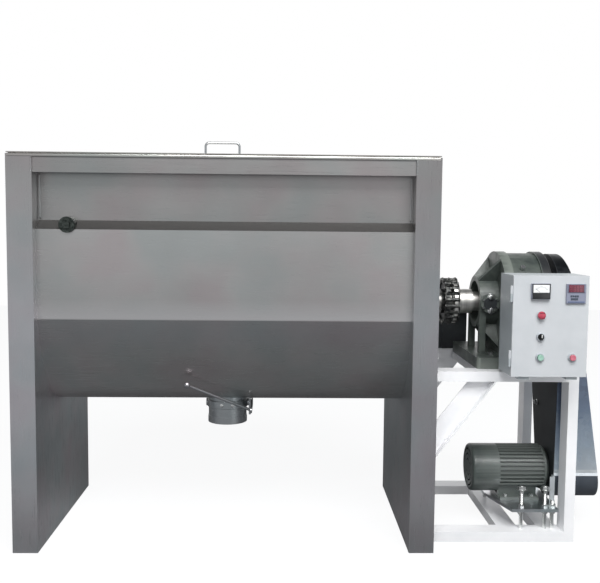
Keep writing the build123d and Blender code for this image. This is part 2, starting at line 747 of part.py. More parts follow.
def spokes():
    """Radial bars that carry the outer ribbon on one side and the inner on the other."""
    bars = []
    outer = OUTER_RIBBON_RADIUS - OUTER_RIBBON_WIDTH
    inner = INNER_RIBBON_RADIUS - INNER_RIBBON_WIDTH
    for half_turn in range(int(2 * RIBBON_TURNS) + 1):
        x = RIBBON_START + half_turn * RIBBON_PITCH / 2
        side = -1 if half_turn % 2 == 0 else 1
        for sign, reach in ((side, outer), (-side, inner)):
            bar = rod_z(SPOKE_RADIUS, SHAFT_HEIGHT, SHAFT_HEIGHT + sign * (reach + SPOKE_RADIUS), x, MID_Y)
            end = rod_x(reach - SEAT_GAP, x - SPOKE_RADIUS, x + SPOKE_RADIUS, AXLE)
            root = rod_x(SHAFT_RADIUS + SEAT_GAP, x - SPOKE_RADIUS, x + SPOKE_RADIUS, AXLE)
            bars.append((bar & end) - root)
    right = group(*bars)
    return group(right, mirrored(right))


def main_shaft():
    """Solid shaft through the trough, both bearings and the first coupling wheel."""
    return rod_x(SHAFT_RADIUS, -BEARING_END, COUPLING_X - SHAFT_END_GAP / 2, AXLE)


def end_bearing():
    """Flanged bearing on the outer web."""
    flange = box(
        BODY_END,
        BODY_END + BEARING_THICK,
        MID_Y - BEARING_WIDTH / 2,
        MID_Y + BEARING_WIDTH / 2,
        SHAFT_HEIGHT - BEARING_WIDTH / 2,
        SHAFT_HEIGHT + BEARING_WIDTH / 2,
    )
    flange = chamfer(flange.edges().filter_by(Axis.X), BEARING_WIDTH / 5)
    boss = rod_x(BEARING_BOSS_RADIUS, BODY_END, BEARING_END, AXLE)
    boss = chamfer(boss.edges().group_by(Axis.X)[-1], BEARING_THICK / 3)
    return flange + boss - rod_x(SHAFT_RADIUS + RUNNING_GAP, BODY_END, BEARING_END, AXLE)


def shaft_gland():
    """Packing gland on the inner web, inside the end frame."""
    face = WEB_X + END_WALL
    flange = rod_x(GLAND_RADIUS, face, face + GLAND_FLANGE_THICK, AXLE)
    boss = rod_x(GLAND_BOSS_RADIUS, face, face + GLAND_LENGTH, AXLE)
    return flange + boss - rod_x(SHAFT_RADIUS + RUNNING_GAP, face, face + GLAND_LENGTH, AXLE)


# Chain coupling


def chain_angle(step):
    """Angle of a roller seen along the shaft."""
    return 360.0 * step / CHAIN_TEETH


def on_chain(step, shape):
    """A piece drawn at the chain's radius above the shaft, turned to one roller."""
    return Pos(0, *AXLE) * Rot(chain_angle(step), 0, 0) * Pos(0, 0, CHAIN_RADIUS) * shape


def sprocket(sign, hub_length, bore):
    """Toothed wheel with a hub, on one side of the gap between the shafts."""
    tooth_x = COUPLING_X + sign * STRAND_SPACING / 2
    hub_from = COUPLING_X + sign * SHAFT_END_GAP / 2
    hub_to = COUPLING_X + sign * hub_length
    tip = CHAIN_RADIUS + TOOTH_RISE
    wheel = rod_x(tip, tooth_x - TOOTH_WIDTH / 2, tooth_x + TOOTH_WIDTH / 2, AXLE)
    octagon = RegularPolygon(ROLLER_RADIUS + ROLLER_GAP, 8, major_radius=False)
    pocket = Rot(0, 90, 0) * extrude(octagon, TOOTH_WIDTH)
    seat = Pos(tooth_x - TOOTH_WIDTH / 2, 0, 0) * pocket
    opening = box(
        tooth_x - TOOTH_WIDTH,
        tooth_x + TOOTH_WIDTH,
        -ROLLER_RADIUS,
        ROLLER_RADIUS,
        0,
        2 * TOOTH_RISE,
    )
    cuts = [on_chain(step, shape) for step in range(CHAIN_TEETH) for shape in (seat, opening)]
    wheel = wheel - cuts
    hub = rod_x(COUPLING_HUB_RADIUS, hub_from, hub_to, AXLE)
    return wheel + hub - rod_x(bore + SEAT_GAP, COUPLING_X, hub_to + sign, AXLE)


def coupling_chain():
    """Duplex roller chain wrapped round both wheels, closed to a ring."""
    half = STRAND_SPACING / 2
    inner_x = half + TOOTH_WIDTH / 2 + LINK_THICK / 2
    outer_x = inner_x + LINK_THICK
    reach = inner_x + LINK_THICK / 2
    sagitta = CHAIN_RADIUS * (1 - cos(radians(180 / CHAIN_TEETH)))
    corners = Rectangle(CHAIN_PITCH + 2 * LINK_LAP, LINK_HEIGHT).vertices()
    link = along_x(Pos(0, -sagitta) * chamfer(corners, LINK_CORNER), -LINK_THICK / 2, LINK_THICK / 2)
    octagon = RegularPolygon(ROLLER_RADIUS, 8, major_radius=True)
    roller = Pos(COUPLING_X - reach, 0, 0) * Rot(0, 90, 0) * extrude(octagon, 2 * reach)
    pieces = []
    for step in range(CHAIN_TEETH):
        pieces.append(on_chain(step, roller))
        places = (-outer_x, 0, outer_x) if step % 2 == 0 else (-inner_x, inner_x)
        for place in places:
            pieces.append(on_chain(step + 0.5, Pos(COUPLING_X + place, 0, 0) * link))
    return pieces[0] + pieces[1:]


def output_shaft():
    """Reducer output shaft from the second coupling wheel into the reducer."""
    return rod_x(OUTPUT_RADIUS, COUPLING_X + SHAFT_END_GAP / 2, DRUM_X + OUTPUT_DEPTH, AXLE)


def coupling_guard():
    """Bent sheet behind the coupling with a flat support bar, standing on the rear rail."""
    x0 = BODY_END + GUARD_SHEET_START
    x1 = x0 + GUARD_SHEET_LENGTH
    y1 = FRAME_BACK - TUBE_WIDE / 2
    y0 = y1 - GUARD_SHEET
    z1 = FRAME_HEIGHT + GUARD_SHEET_HEIGHT
    sheet = box(x0, x1, y0, y1, FRAME_HEIGHT, z1)
    fold = box(x0, x1, y0 - GUARD_SHEET_FOLD, y1, z1 - GUARD_SHEET, z1)
    return sheet + fold


def coupling_guard_bar():
    """Flat bar that stiffens the coupling guard."""
    x0 = BODY_END + GUARD_SHEET_START + GUARD_BAR_SETTING
    y1 = FRAME_BACK - TUBE_WIDE / 2 - GUARD_SHEET
    top = FRAME_HEIGHT + GUARD_BAR_HEIGHT
    return box(x0, x0 + GUARD_BAR_WIDTH, y1 - GUARD_BAR_THICK, y1, FRAME_HEIGHT, top)


# Reducer


def reducer_frame():
    """One casting: open hub, radial ribs all round but at the front pad, ring flange, legs and foot slab."""
    hub = rod_x(HUB_RADIUS, HUB_X, RING_X, AXLE)
    side = box(RING_X, DRUM_X, MID_Y - RING_RADIUS, MID_Y + RING_RADIUS, FRAME_HEIGHT, SHAFT_HEIGHT)
    ring = rod_x(RING_RADIUS, RING_X, DRUM_X, AXLE) + side
    slab = box(FOOT_X, DRUM_END, MID_Y - FOOT_HALF_DEPTH, MID_Y + FOOT_HALF_DEPTH, FRAME_HEIGHT, FOOT_TOP)
    slab = fillet(slab.edges().filter_by(Axis.Z), RIB_THICK)
    casting = ring + slab + hub
    rib_face = Polygon((HUB_X, HUB_BORE + 1), (RING_X, HUB_BORE + 1), (RING_X, RING_RADIUS - 2), align=None)
    rib_face += Polygon((HUB_X, HUB_BORE + 1), (RING_X, RING_RADIUS - 2), (HUB_X, HUB_RADIUS), align=None)
    rib = along_y(rib_face, -RIB_THICK / 2, RIB_THICK / 2)
    front = 90
    for angle in range(30, 360, 60):
        if angle != front:
            casting += Pos(0, *AXLE) * Rot(angle, 0, 0) * rib
    for sign in (-1, 1):
        y = MID_Y + sign * LEG_SPREAD
        leg = box(HUB_X, HUB_X + LEG_LENGTH, y - LEG_DEPTH / 2, y + LEG_DEPTH / 2, FOOT_TOP - 1, SHAFT_HEIGHT)
        casting += leg
    pad = rod_y(BOSS_PAD_RADIUS, PAD_FACE, MID_Y, PAD_X, SHAFT_HEIGHT)
    casting += pad
    casting -= rod_x(RING_RADIUS + FACE_GAP, DRUM_X, DRUM_END, AXLE)
    casting -= rod_x(HUB_BORE, HUB_X - 1, RING_X, AXLE)
    return casting - rod_x(OUTPUT_RADIUS + SHAFT_HOLE_GAP, HUB_X, DRUM_X, AXLE)


def bearing_cap():
    """Seal cover round the output shaft, inside the hub."""
    cap = rod_x(HUB_BORE - SEAT_GAP, RING_X - CAP_LENGTH, RING_X, AXLE)
    cap = chamfer(cap.edges().group_by(Axis.X)[0], CAP_LENGTH / 3)
    return cap - rod_x(OUTPUT_RADIUS + RUNNING_GAP, RING_X - CAP_LENGTH - 1, RING_X + 1, AXLE)


def side_cover():
    """Round inspection cover on the pad that faces the front."""
    disc = rod_y(SIDE_COVER_RADIUS, PAD_FACE - SIDE_COVER_RISE, PAD_FACE, PAD_X, SHAFT_HEIGHT)
    return chamfer(disc.edges().group_by(Axis.Y)[0], SIDE_COVER_RISE / 3)


def reducer_bolts():
    """Hexagon heads round the side cover and on the foot slab."""
    heads = []
    spin = Pos(PAD_X, PAD_FACE, SHAFT_HEIGHT) * Rot(90, 0, 0)
    for step in range(BOLT_COUNT):
        place = Rot(0, 0, 360 * (step + 0.5) / BOLT_COUNT) * Pos(BOLT_CIRCLE, 0, 0)
        heads.append(spin * place * extrude(hexagon(BOLT_FLATS), BOLT_HEAD))
    places = ((HUB_X + FOOT_BOLT_SETTING, FOOT_BOLT_SPREAD), (DRUM_X + FOOT_BOLT_SETTING, REAR_BOLT_SPREAD))
    for x, spread in places:
        for sign in (-1, 1):
            head = extrude(hexagon(FOOT_BOLT_FLATS), FOOT_BOLT_HEAD)
            heads.append(Pos(x, MID_Y + sign * spread, FOOT_TOP) * head)
    return group(*heads)


def reducer_drum():
    """Ring-gear housing behind the frame with its end flange."""
    drum = rod_x(DRUM_RADIUS, DRUM_X, DRUM_END, AXLE)
    flange = rod_x(RING_RADIUS, DRUM_END - DRUM_FLANGE, DRUM_END, AXLE)
    flange = chamfer(flange.edges().group_by(Axis.X)[-1], DRUM_FLANGE / 8)
    body = drum + flange
    body -= rod_x(OUTPUT_RADIUS + RUNNING_GAP, DRUM_X - 1, DRUM_X + OUTPUT_DEPTH, AXLE)
    return body - rod_x(INPUT_SHAFT_RADIUS + RUNNING_GAP, DRUM_END - INPUT_DEPTH, DRUM_END + 1, AXLE)


def drum_plug():
    """Oil plug on the upper front of the drum."""
    middle_x = DRUM_X + TUBE_NARROW
    root = rod_z(DRUM_PLUG_RADIUS, DRUM_RADIUS - DRUM_PLUG_RADIUS, DRUM_RADIUS + DRUM_PLUG_RISE, 0, 0)
    plug = Pos(middle_x, *AXLE) * Rot(45, 0, 0) * root
    return plug - rod_x(DRUM_RADIUS + SEAT_GAP, DRUM_X, DRUM_END, AXLE)


def input_cover():
    """Flat cover on the input side."""
    disc = rod_x(INPUT_COVER_RADIUS, DRUM_END, COVER_END, AXLE)
    disc = chamfer(disc.edges().group_by(Axis.X)[-1], INPUT_COVER_LENGTH / 3)
    return disc - rod_x(INPUT_SHAFT_RADIUS + RUNNING_GAP, DRUM_END - 1, COVER_END + 1, AXLE)


def input_shaft():
    """Fast shaft of the reducer with the large pulley on it."""
    return rod_x(INPUT_SHAFT_RADIUS, DRUM_END - INPUT_DEPTH, PULLEY_END + SHAFT_END_OUT, AXLE)


# Belt drive


def groove_places():
    """Middles of the grooves along X."""
    middle = PULLEY_X + PULLEY_WIDTH / 2
    return [middle + (index - (BELT_COUNT - 1) / 2) * BELT_SPACING for index in range(BELT_COUNT)]


def grooved(wheel, radius, axle):
    """Cuts the V-grooves into a wheel."""
    bottom = GROOVE_HALF_WIDTH - GROOVE_DEPTH * GROOVE_SLOPE
    top = GROOVE_HALF_WIDTH + GROOVE_SLOPE
    for x in groove_places():
        profile = Polygon(
            (x - bottom, radius - GROOVE_DEPTH),
            (x + bottom, radius - GROOVE_DEPTH),
            (x + top, radius + 1),
            (x - top, radius + 1),
            align=None,
        )
        wheel -= turned(profile, axle)
    return wheel


def large_pulley():
    """Cast pulley with rim, web and hub."""
    wheel = rod_x(PULLEY_RADIUS, PULLEY_X, PULLEY_END, AXLE)
    face = (PULLEY_WIDTH - PULLEY_WEB) / 2
    recess = rod_x(PULLEY_RADIUS - PULLEY_RIM, PULLEY_X, PULLEY_X + face, AXLE)
    recess += rod_x(PULLEY_RADIUS - PULLEY_RIM, PULLEY_END - face, PULLEY_END, AXLE)
    wheel = wheel - recess + rod_x(PULLEY_HUB_RADIUS, PULLEY_X, PULLEY_END, AXLE)
    wheel -= rod_x(INPUT_SHAFT_RADIUS + SEAT_GAP, PULLEY_X - 1, PULLEY_END + 1, AXLE)
    return grooved(wheel, PULLEY_RADIUS, AXLE)


def small_pulley():
    """Solid pulley on the motor shaft."""
    wheel = rod_x(SMALL_PULLEY_RADIUS, PULLEY_X, PULLEY_END, MOTOR_AXLE)
    wheel -= rod_x(MOTOR_SHAFT_RADIUS + SEAT_GAP, PULLEY_X - 1, PULLEY_END + 1, MOTOR_AXLE)
    return grooved(wheel, SMALL_PULLEY_RADIUS, MOTOR_AXLE)


def drive_outline(large, small):
    """Outline in Y and Z wrapped round both axles."""
    circles = (Pos(*AXLE) * Circle(large)).edges()
    circles += (Pos(*MOTOR_AXLE) * Circle(small)).edges()
    return make_hull(circles)


def v_belt(middle):
    """Endless V-belt, flush with the rims and just clear of the groove flanks."""
    half = GROOVE_HALF_WIDTH - FACE_GAP / cos(radians(GROOVE_ANGLE))
    low = half - BELT_DEPTH * GROOVE_SLOPE
    outside = drive_outline(PULLEY_RADIUS, SMALL_PULLEY_RADIUS)
    inside = drive_outline(PULLEY_RADIUS - BELT_DEPTH, SMALL_PULLEY_RADIUS - BELT_DEPTH)
    belt = along_x(outside, middle - half, middle + half) - along_x(inside, middle - low, middle + low)
    for sign in (-1, 1):
        narrow = yz_plane(middle + sign * low) * inside
        wide = yz_plane(middle + sign * half) * outside
        belt -= loft([narrow, wide], ruled=True)
    return belt


def v_belts():
    """Both belts."""
    return group(*[v_belt(middle) for middle in groove_places()])


def guard_outline(inset):
    """Outline of the belt guard in Y and Z."""
    large = PULLEY_RADIUS + GUARD_CLEARANCE - inset
    small = SMALL_PULLEY_RADIUS + GUARD_FOOT_CLEARANCE - inset
    return drive_outline(large, small)


def guard_face(z, inset):
    """X of the slanting outer face at a height."""
    return GUARD_X + GUARD_DEPTH + GUARD_FLARE * (GUARD_TOP - z) - inset


def guard_block(inset):
    """Solid inside the guard's outline and its slanting face."""
    far = guard_face(0, 0) + 1
    block = along_x(guard_outline(inset), GUARD_X, far)
    top = GUARD_TOP + 1
    wedge = Polygon(
        (GUARD_X - 1, -1),
        (guard_face(-1, inset), -1),
        (guard_face(top, inset), top),
        (GUARD_X - 1, top),
        align=None,
    )
    return block & along_y(wedge, 0, BODY_DEPTH)


def guard_cover():
    """Sheet-metal guard over both pulleys, flaring outwards towards its lower end."""
    shell = guard_block(0) - guard_block(GUARD_WALL)
    return shell & box(GUARD_X, guard_face(0, 0), 0, BODY_DEPTH, GUARD_SEAM, GUARD_TOP)


def guard_foot():
    """Dark lower section of the guard, below the seam."""
    shell = guard_block(0) - guard_block(GUARD_WALL)
    return shell & box(GUARD_X, guard_face(0, 0), 0, BODY_DEPTH, 0, GUARD_SEAM - GUARD_JOINT)


def guard_back_plate():
    """Plate that closes the guard behind the pulleys."""
    plate = along_x(guard_outline(0), BACK_PLATE_X, GUARD_X)
    plate -= rod_x(INPUT_SHAFT_RADIUS + SHAFT_HOLE_GAP, BACK_PLATE_X - 1, GUARD_X + 1, AXLE)
    return plate - rod_x(MOTOR_SHAFT_RADIUS + SHAFT_HOLE_GAP, BACK_PLATE_X - 1, GUARD_X + 1, MOTOR_AXLE)


def guard_brackets():
    """Upright angle on the motor plate and a short angle on the top cross member."""
    low = PLATE_TOP
    high = MOTOR_Z
    y0 = FRAME_FRONT + TUBE_WIDE
    x0 = BACK_PLATE_X - BRACKET_DEEP
    upright = box(x0, BACK_PLATE_X, y0, y0 + BRACKET_WALL, low, high)
    leg = box(BACK_PLATE_X - BRACKET_WALL, BACK_PLATE_X, y0, y0 + BRACKET_WIDE, low, high)
    cross_x = BODY_END + TOP_CROSS_SETTING + TOP_CROSS_SPACING + TUBE_WIDE - BRACKET_DEEP
    flat = box(
        cross_x,
        BACK_PLATE_X,
        MID_Y - BRACKET_WIDE,
        MID_Y,
        FRAME_HEIGHT - TUBE_NARROW - BRACKET_WALL,
        FRAME_HEIGHT - TUBE_NARROW,
    )
    tab = box(
        BACK_PLATE_X - BRACKET_WALL,
        BACK_PLATE_X,
        MID_Y - BRACKET_WIDE,
        MID_Y,
        FRAME_HEIGHT - TUBE_NARROW - BRACKET_WIDE,
        FRAME_HEIGHT - TUBE_NARROW,
    )
    return group(upright + leg, flat + tab)


# Motor


def motor_housing():
    """Finned housing on feet."""
    body = rod_x(MOTOR_RADIUS, HOUSING_X, HOUSING_END, MOTOR_AXLE)
    fin = box(HOUSING_X, HOUSING_END, -FIN_THICK / 2, FIN_THICK / 2, MOTOR_RADIUS - 2, FIN_RADIUS)
    fins = []
    for step in range(FIN_COUNT):
        angle = 360.0 * step / FIN_COUNT
        if abs(angle - 180) > BARE_ANGLE:
            fins.append(Pos(0, *MOTOR_AXLE) * Rot(angle, 0, 0) * fin)
    x0 = HOUSING_X + MOTOR_FOOT_SETTING
    x1 = x0 + MOTOR_FOOT_LENGTH
    half = MOTOR_FOOT_SPAN / 2
    top = MOTOR_FOOT_Z + MOTOR_FOOT_THICK
    foot = box(x0, x1, MOTOR_Y - half, MOTOR_Y + half, MOTOR_FOOT_Z, top)
    body = body + fins + foot
    for sign in (-1, 1):
        y = MOTOR_Y + sign * MOTOR_FOOT_WEBS / 2
        body += box(x0, x1, y - MOTOR_FOOT_WEB / 2, y + MOTOR_FOOT_WEB / 2, MOTOR_FOOT_Z, MOTOR_Z)
    return body - rod_x(MOTOR_SHAFT_RADIUS + RUNNING_GAP, HOUSING_X - 1, HOUSING_END + 1, MOTOR_AXLE)


def motor_end_shield():
    """End shield on the drive side."""
    disc = rod_x(SHIELD_RADIUS, HOUSING_END, MOTOR_END, MOTOR_AXLE)
    disc = chamfer(disc.edges().group_by(Axis.X)[-1], SHIELD_LENGTH / 2)
    return disc - rod_x(MOTOR_SHAFT_RADIUS + RUNNING_GAP, HOUSING_END - 1, MOTOR_END + 1, MOTOR_AXLE)


def motor_fan_cover():
    """Pressed cover over the fan with ring slots in its end."""
    cover = rod_x(FIN_RADIUS, FAN_COVER_X, HOUSING_X, MOTOR_AXLE)
    cover = fillet(cover.edges().group_by(Axis.X)[0], FIN_HEIGHT)
    cover -= rod_x(FIN_RADIUS - FAN_COVER_WALL, FAN_COVER_X + FIN_HEIGHT, HOUSING_X + 1, MOTOR_AXLE)
    cover -= rod_x(FIN_RADIUS - FIN_HEIGHT, FAN_COVER_X + FAN_COVER_WALL, HOUSING_X, MOTOR_AXLE)
    x0 = FAN_COVER_X - 1
    x1 = FAN_COVER_X + FIN_HEIGHT
    web = box(x0, x1, -GRILLE_SLOT / 2, GRILLE_SLOT / 2, -FIN_RADIUS, FIN_RADIUS)
    webs = [Pos(0, *MOTOR_AXLE) * Rot(180 * step / 3, 0, 0) * web for step in range(3)]
    for ring in range(GRILLE_RINGS):
        outer = FIN_RADIUS - FIN_HEIGHT - GRILLE_SLOT - ring * 3 * GRILLE_SLOT
        slot = rod_x(outer, x0, x1, MOTOR_AXLE) - rod_x(outer - GRILLE_SLOT, x0, x1, MOTOR_AXLE)
        cover -= slot - webs
    return cover


def motor_terminal_box():
    """Terminal box on the rear side of the housing."""
    middle = (HOUSING_X + HOUSING_END) / 2
    y0 = MOTOR_Y + MOTOR_RADIUS
    half = TERMINAL_LENGTH / 2
    block = box(middle - half, middle + half, y0, y0 + TERMINAL_DEPTH, MOTOR_Z, MOTOR_Z + TERMINAL_HEIGHT)
    return block - rod_x(FIN_RADIUS + SEAT_GAP, HOUSING_X, HOUSING_END, MOTOR_AXLE)


def motor_shaft():
    """Rotor shaft from the fan to the small pulley."""
    return rod_x(MOTOR_SHAFT_RADIUS, FAN_COVER_X + FAN_LENGTH, PULLEY_END + SHAFT_END_OUT, MOTOR_AXLE)


def motor_fan():
    """Cooling fan with straight blades."""
    x0 = FAN_COVER_X + FAN_LENGTH
    x1 = x0 + FAN_LENGTH
    fan = rod_x(MOTOR_SHAFT_RADIUS * 2, x0, x1, MOTOR_AXLE)
    fan += rod_x(FAN_RADIUS, x1 - FAN_COVER_WALL * 2, x1, MOTOR_AXLE)
    blade = box(x0, x1, -FAN_COVER_WALL, FAN_COVER_WALL, MOTOR_SHAFT_RADIUS, FAN_RADIUS)
    fan += [Pos(0, *MOTOR_AXLE) * Rot(360 * step / FAN_BLADES, 0, 0) * blade for step in range(FAN_BLADES)]
    return fan - rod_x(MOTOR_SHAFT_RADIUS + SEAT_GAP, x0 - 1, x1 + 1, MOTOR_AXLE)


def motor_plate():
    """Tilting plate under the motor with its front corner cut off."""
    outline = Polygon(
        (PLATE_X + PLATE_CUT_X, PLATE_FRONT),
        (MOTOR_END, PLATE_FRONT),
        (MOTOR_END, PLATE_BACK),
        (PLATE_X, PLATE_BACK),
        (PLATE_X, PLATE_FRONT + PLATE_CUT_Y),
        align=None,
    )
    plate = extrude(Pos(0, 0, PLATE_TOP - PLATE_THICK) * outline, amount=PLATE_THICK)
    for x in adjuster_places():
        plate -= rod_z(ADJUSTER_RADIUS + 1, 0, MOTOR_Z, x, ADJUSTER_Y)
    return plate


def adjuster_places():
    """X of the three threaded rods."""
    first = MOTOR_END - ADJUSTER_FIRST
    return (first, first + ADJUSTER_SPACING, MOTOR_END - 2 * ADJUSTER_RADIUS)


def adjuster_rods():
    """Threaded rods on the front rail with a nut above and below the plate."""
    rods = []
    for index, x in enumerate(adjuster_places()):
        rise = ADJUSTER_RISE if index < 2 else ADJUSTER_RISE / 3
        rod = rod_z(ADJUSTER_RADIUS, TUBE_NARROW, PLATE_TOP + rise, x, ADJUSTER_Y)
        for z in (PLATE_TOP, PLATE_TOP - PLATE_THICK - NUT_HEIGHT):
            rod += Pos(x, ADJUSTER_Y, z) * extrude(hexagon(NUT_FLATS), NUT_HEIGHT)
        rods.append(rod)
    return group(*rods)


def motor_bolts():
    """Hexagon heads on the motor's feet."""
    heads = []
    middle = HOUSING_X + MOTOR_FOOT_SETTING + MOTOR_FOOT_LENGTH / 2
    for x in (middle - MOTOR_FOOT_SPREAD / 2, middle + MOTOR_FOOT_SPREAD / 2):
        for sign in (-1, 1):
            y = MOTOR_Y + sign * (MOTOR_FOOT_SPAN / 2 - MOTOR_FOOT_BOLT)
            top = MOTOR_FOOT_Z + MOTOR_FOOT_THICK
            heads.append(Pos(x, y, top) * extrude(hexagon(MOTOR_FOOT_BOLT), MOTOR_FOOT_BOLT / 2))
    return group(*heads)


def plate_hinge():
    """Lugs on the low cross members and the pin that the motor plate tilts on."""
    z = PLATE_TOP - PLATE_THICK / 2
    y = PLATE_BACK + PLATE_LUG_RADIUS
    pieces = []
    for x in low_cross_places():
        middle = x + TUBE_WIDE / 2
        x0 = middle - PLATE_LUG_THICK / 2
        lug = rod_x(PLATE_LUG_RADIUS - FACE_GAP, x0, x0 + PLATE_LUG_THICK, (y, z))
        half = PLATE_LUG_RADIUS / 2
        lug += box(x0, x0 + PLATE_LUG_THICK, y - half, y + half, TUBE_NARROW, z)
        lug -= rod_x(PLATE_PIN_RADIUS + SEAT_GAP, x0 - 1, x0 + PLATE_LUG_THICK + 1, (y, z))
        pieces.append(lug)
    pieces.append(rod_x(PLATE_PIN_RADIUS, PLATE_X, MOTOR_END, (y, z)))
    return group(*pieces)


def plate_knuckles():
    """Eyes at the rear edge of the motor plate, round the pin."""
    z = PLATE_TOP - PLATE_THICK / 2
    y = PLATE_BACK + PLATE_LUG_RADIUS
    eyes = []
    for x in low_cross_places():
        middle = x + TUBE_WIDE / 2
        x0 = middle - PLATE_LUG_THICK * 2
        eye = rod_x(PLATE_LUG_RADIUS - FACE_GAP, x0, x0 + PLATE_LUG_THICK, (y, z))
        eye += box(x0, x0 + PLATE_LUG_THICK, PLATE_BACK, y, z - PLATE_THICK / 2, z + PLATE_THICK / 2)
        eye -= rod_x(PLATE_PIN_RADIUS + SEAT_GAP, x0 - 1, x0 + PLATE_LUG_THICK + 1, (y, z))
        eyes.append(eye)
    return group(*eyes)


# Drive frame


def tube(x0, x1, y0, y1, z0, z1, axis):
    """Rectangular tube open at both ends along one axis."""
    low = [x0, y0, z0]
    high = [x1, y1, z1]
    for index in range(3):
        if index == axis:
            continue
        low[index] += TUBE_WALL
        high[index] -= TUBE_WALL
    core = box(low[0], high[0], low[1], high[1], low[2], high[2])
    return box(x0, x1, y0, y1, z0, z1) - core


def top_cross_places():
    """X of the cross members under the reducer."""
    first = BODY_END + TOP_CROSS_SETTING
    return (first, first + TOP_CROSS_SPACING)


def low_cross_places():
    """X of the cross members under the motor."""
    first = BODY_END + LOW_CROSS_SETTING
    return (first, first + LOW_CROSS_SPACING)


def frame_rails():
    """Four rails from the end frame and the cross members between them."""
    tubes = []
    front_back = FRAME_FRONT + TUBE_WIDE
    rear_front = FRAME_BACK - TUBE_WIDE
    for y0 in (FRAME_FRONT, rear_front):
        for z0 in (0, RAIL_UNDER):
            tubes.append(tube(BODY_END, FRAME_END, y0, y0 + TUBE_WIDE, z0, z0 + TUBE_NARROW, 0))
    for x0 in top_cross_places():
        tubes.append(tube(x0, x0 + TUBE_WIDE, front_back, rear_front, RAIL_UNDER, FRAME_HEIGHT, 1))
    for x0 in low_cross_places():
        tubes.append(tube(x0, x0 + TUBE_WIDE, front_back, rear_front, 0, TUBE_NARROW, 1))
    return group(*tubes)


def frame_posts():
    """Posts between the rails at the free end."""
    posts = []
    for y0 in (FRAME_FRONT, FRAME_BACK - TUBE_WIDE):
        posts.append(tube(FRAME_END - TUBE_NARROW, FRAME_END, y0, y0 + TUBE_WIDE, TUBE_NARROW, RAIL_UNDER, 2))
    return group(*posts)


def brace(plate_y, edge_y):
    """Angle-steel knee brace from the end frame to the top rail; its flange ends at edge_y."""
    corner_x = BODY_END + BRACE_REACH
    turn = Pos(corner_x, 0, RAIL_UNDER) * Rot(0, -BRACE_ANGLE, 0)
    reach = 2 * BRACE_REACH
    low_y, high_y = sorted((plate_y, edge_y))
    sign = 1 if plate_y > edge_y else -1
    inner_y = plate_y - sign * BRACE_WALL
    leaf = turn * box(-reach, reach, plate_y, inner_y, 0, TUBE_WIDE)
    flange = turn * box(-reach, reach, low_y, high_y, 0, BRACE_WALL)
    region = box(BODY_END, corner_x + reach, 0, BODY_DEPTH, TUBE_NARROW, RAIL_UNDER)
    return (leaf + flange) & region


def frame_braces():
    """One knee brace in the front plane and one in the rear plane."""
    front = brace(FRAME_FRONT + BRACE_FLANGE, FRAME_FRONT)
    rear = brace(FRAME_BACK - BRACE_FLANGE, FRAME_BACK)
    return group(front, rear)


# Control box


def control_box():
    """Case of a back sheet and four wall sheets, open towards its door."""
    x1 = BOX_X + BOX_WIDTH
    z1 = BOX_Z + BOX_HEIGHT
    back = BOX_BACK - BOX_WALL
    sheets = [box(BOX_X, x1, back, BOX_BACK, BOX_Z, z1)]
    for z in (BOX_Z, z1 - BOX_WALL):
        sheets.append(box(BOX_X, x1, BOX_Y, back, z, z + BOX_WALL))
    for x in (BOX_X, x1 - BOX_WALL):
        sheets.append(box(x, x + BOX_WALL, BOX_Y, back, BOX_Z + BOX_WALL, z1 - BOX_WALL))
    return group(*sheets)


def box_bars():
    """Flat bars that carry the box and lie on the front top rail."""
    middle = BOX_X + BOX_WIDTH / 2
    bars = []
    for sign in (-1, 1):
        x = middle + sign * BOX_BAR_SPACING / 2
        half = BOX_BAR_WIDE / 2
        back = FRAME_FRONT + BOX_BAR_OVERLAP
        bars.append(box(x - half, x + half, DOOR_Y + BOX_BAR_SETBACK, back, FRAME_HEIGHT, BOX_Z))
    return group(*bars)


def control_door():
    """Door folded to a shallow tray, cut out for the instruments."""
    outside = box(BOX_X, BOX_X + BOX_WIDTH, DOOR_Y, BOX_Y - FACE_GAP, BOX_Z, BOX_Z + BOX_HEIGHT)
    inside = box(
        BOX_X + BOX_WALL,
        BOX_X + BOX_WIDTH - BOX_WALL,
        DOOR_Y + BOX_WALL,
        BOX_Y,
        BOX_Z + BOX_WALL,
        BOX_Z + BOX_HEIGHT - BOX_WALL,
    )
    door = outside - inside
    door -= instrument_body(METER_X, METER_Z, METER_WIDE, METER_HIGH, SEAT_GAP)
    door -= instrument_body(CONTROLLER_X, CONTROLLER_Z, CONTROLLER_SIDE, CONTROLLER_SIDE, SEAT_GAP)
    for x, z in switch_places():
        door -= rod_y(SWITCH_BARREL + SEAT_GAP, DOOR_Y - 1, BOX_Y, x, z)
    return door


def instrument_body(x, z, wide, high, gap):
    """Part of an instrument behind the door, measured from the box corner."""
    half_x = wide / 2 - INSTRUMENT_INSET + gap
    half_z = high / 2 - INSTRUMENT_INSET + gap
    middle_x = BOX_X + x
    middle_z = BOX_Z + z
    return box(
        middle_x - half_x,
        middle_x + half_x,
        DOOR_Y,
        DOOR_Y + INSTRUMENT_DEPTH,
        middle_z - half_z,
        middle_z + half_z,
    )


def instrument(x, z, wide, high, rise):
    """Panel instrument with a raised front frame."""
    middle_x = BOX_X + x
    middle_z = BOX_Z + z
    front = box(
        middle_x - wide / 2,
        middle_x + wide / 2,
        DOOR_Y - rise,
        DOOR_Y,
        middle_z - high / 2,
        middle_z + high / 2,
    )
    front = chamfer(front.faces().sort_by(Axis.Y)[0].edges(), rise / 6)
    return front + instrument_body(x, z, wide, high, 0)


def meter():
    """Square-faced ammeter."""
    return instrument(METER_X, METER_Z, METER_WIDE, METER_HIGH, METER_RISE)


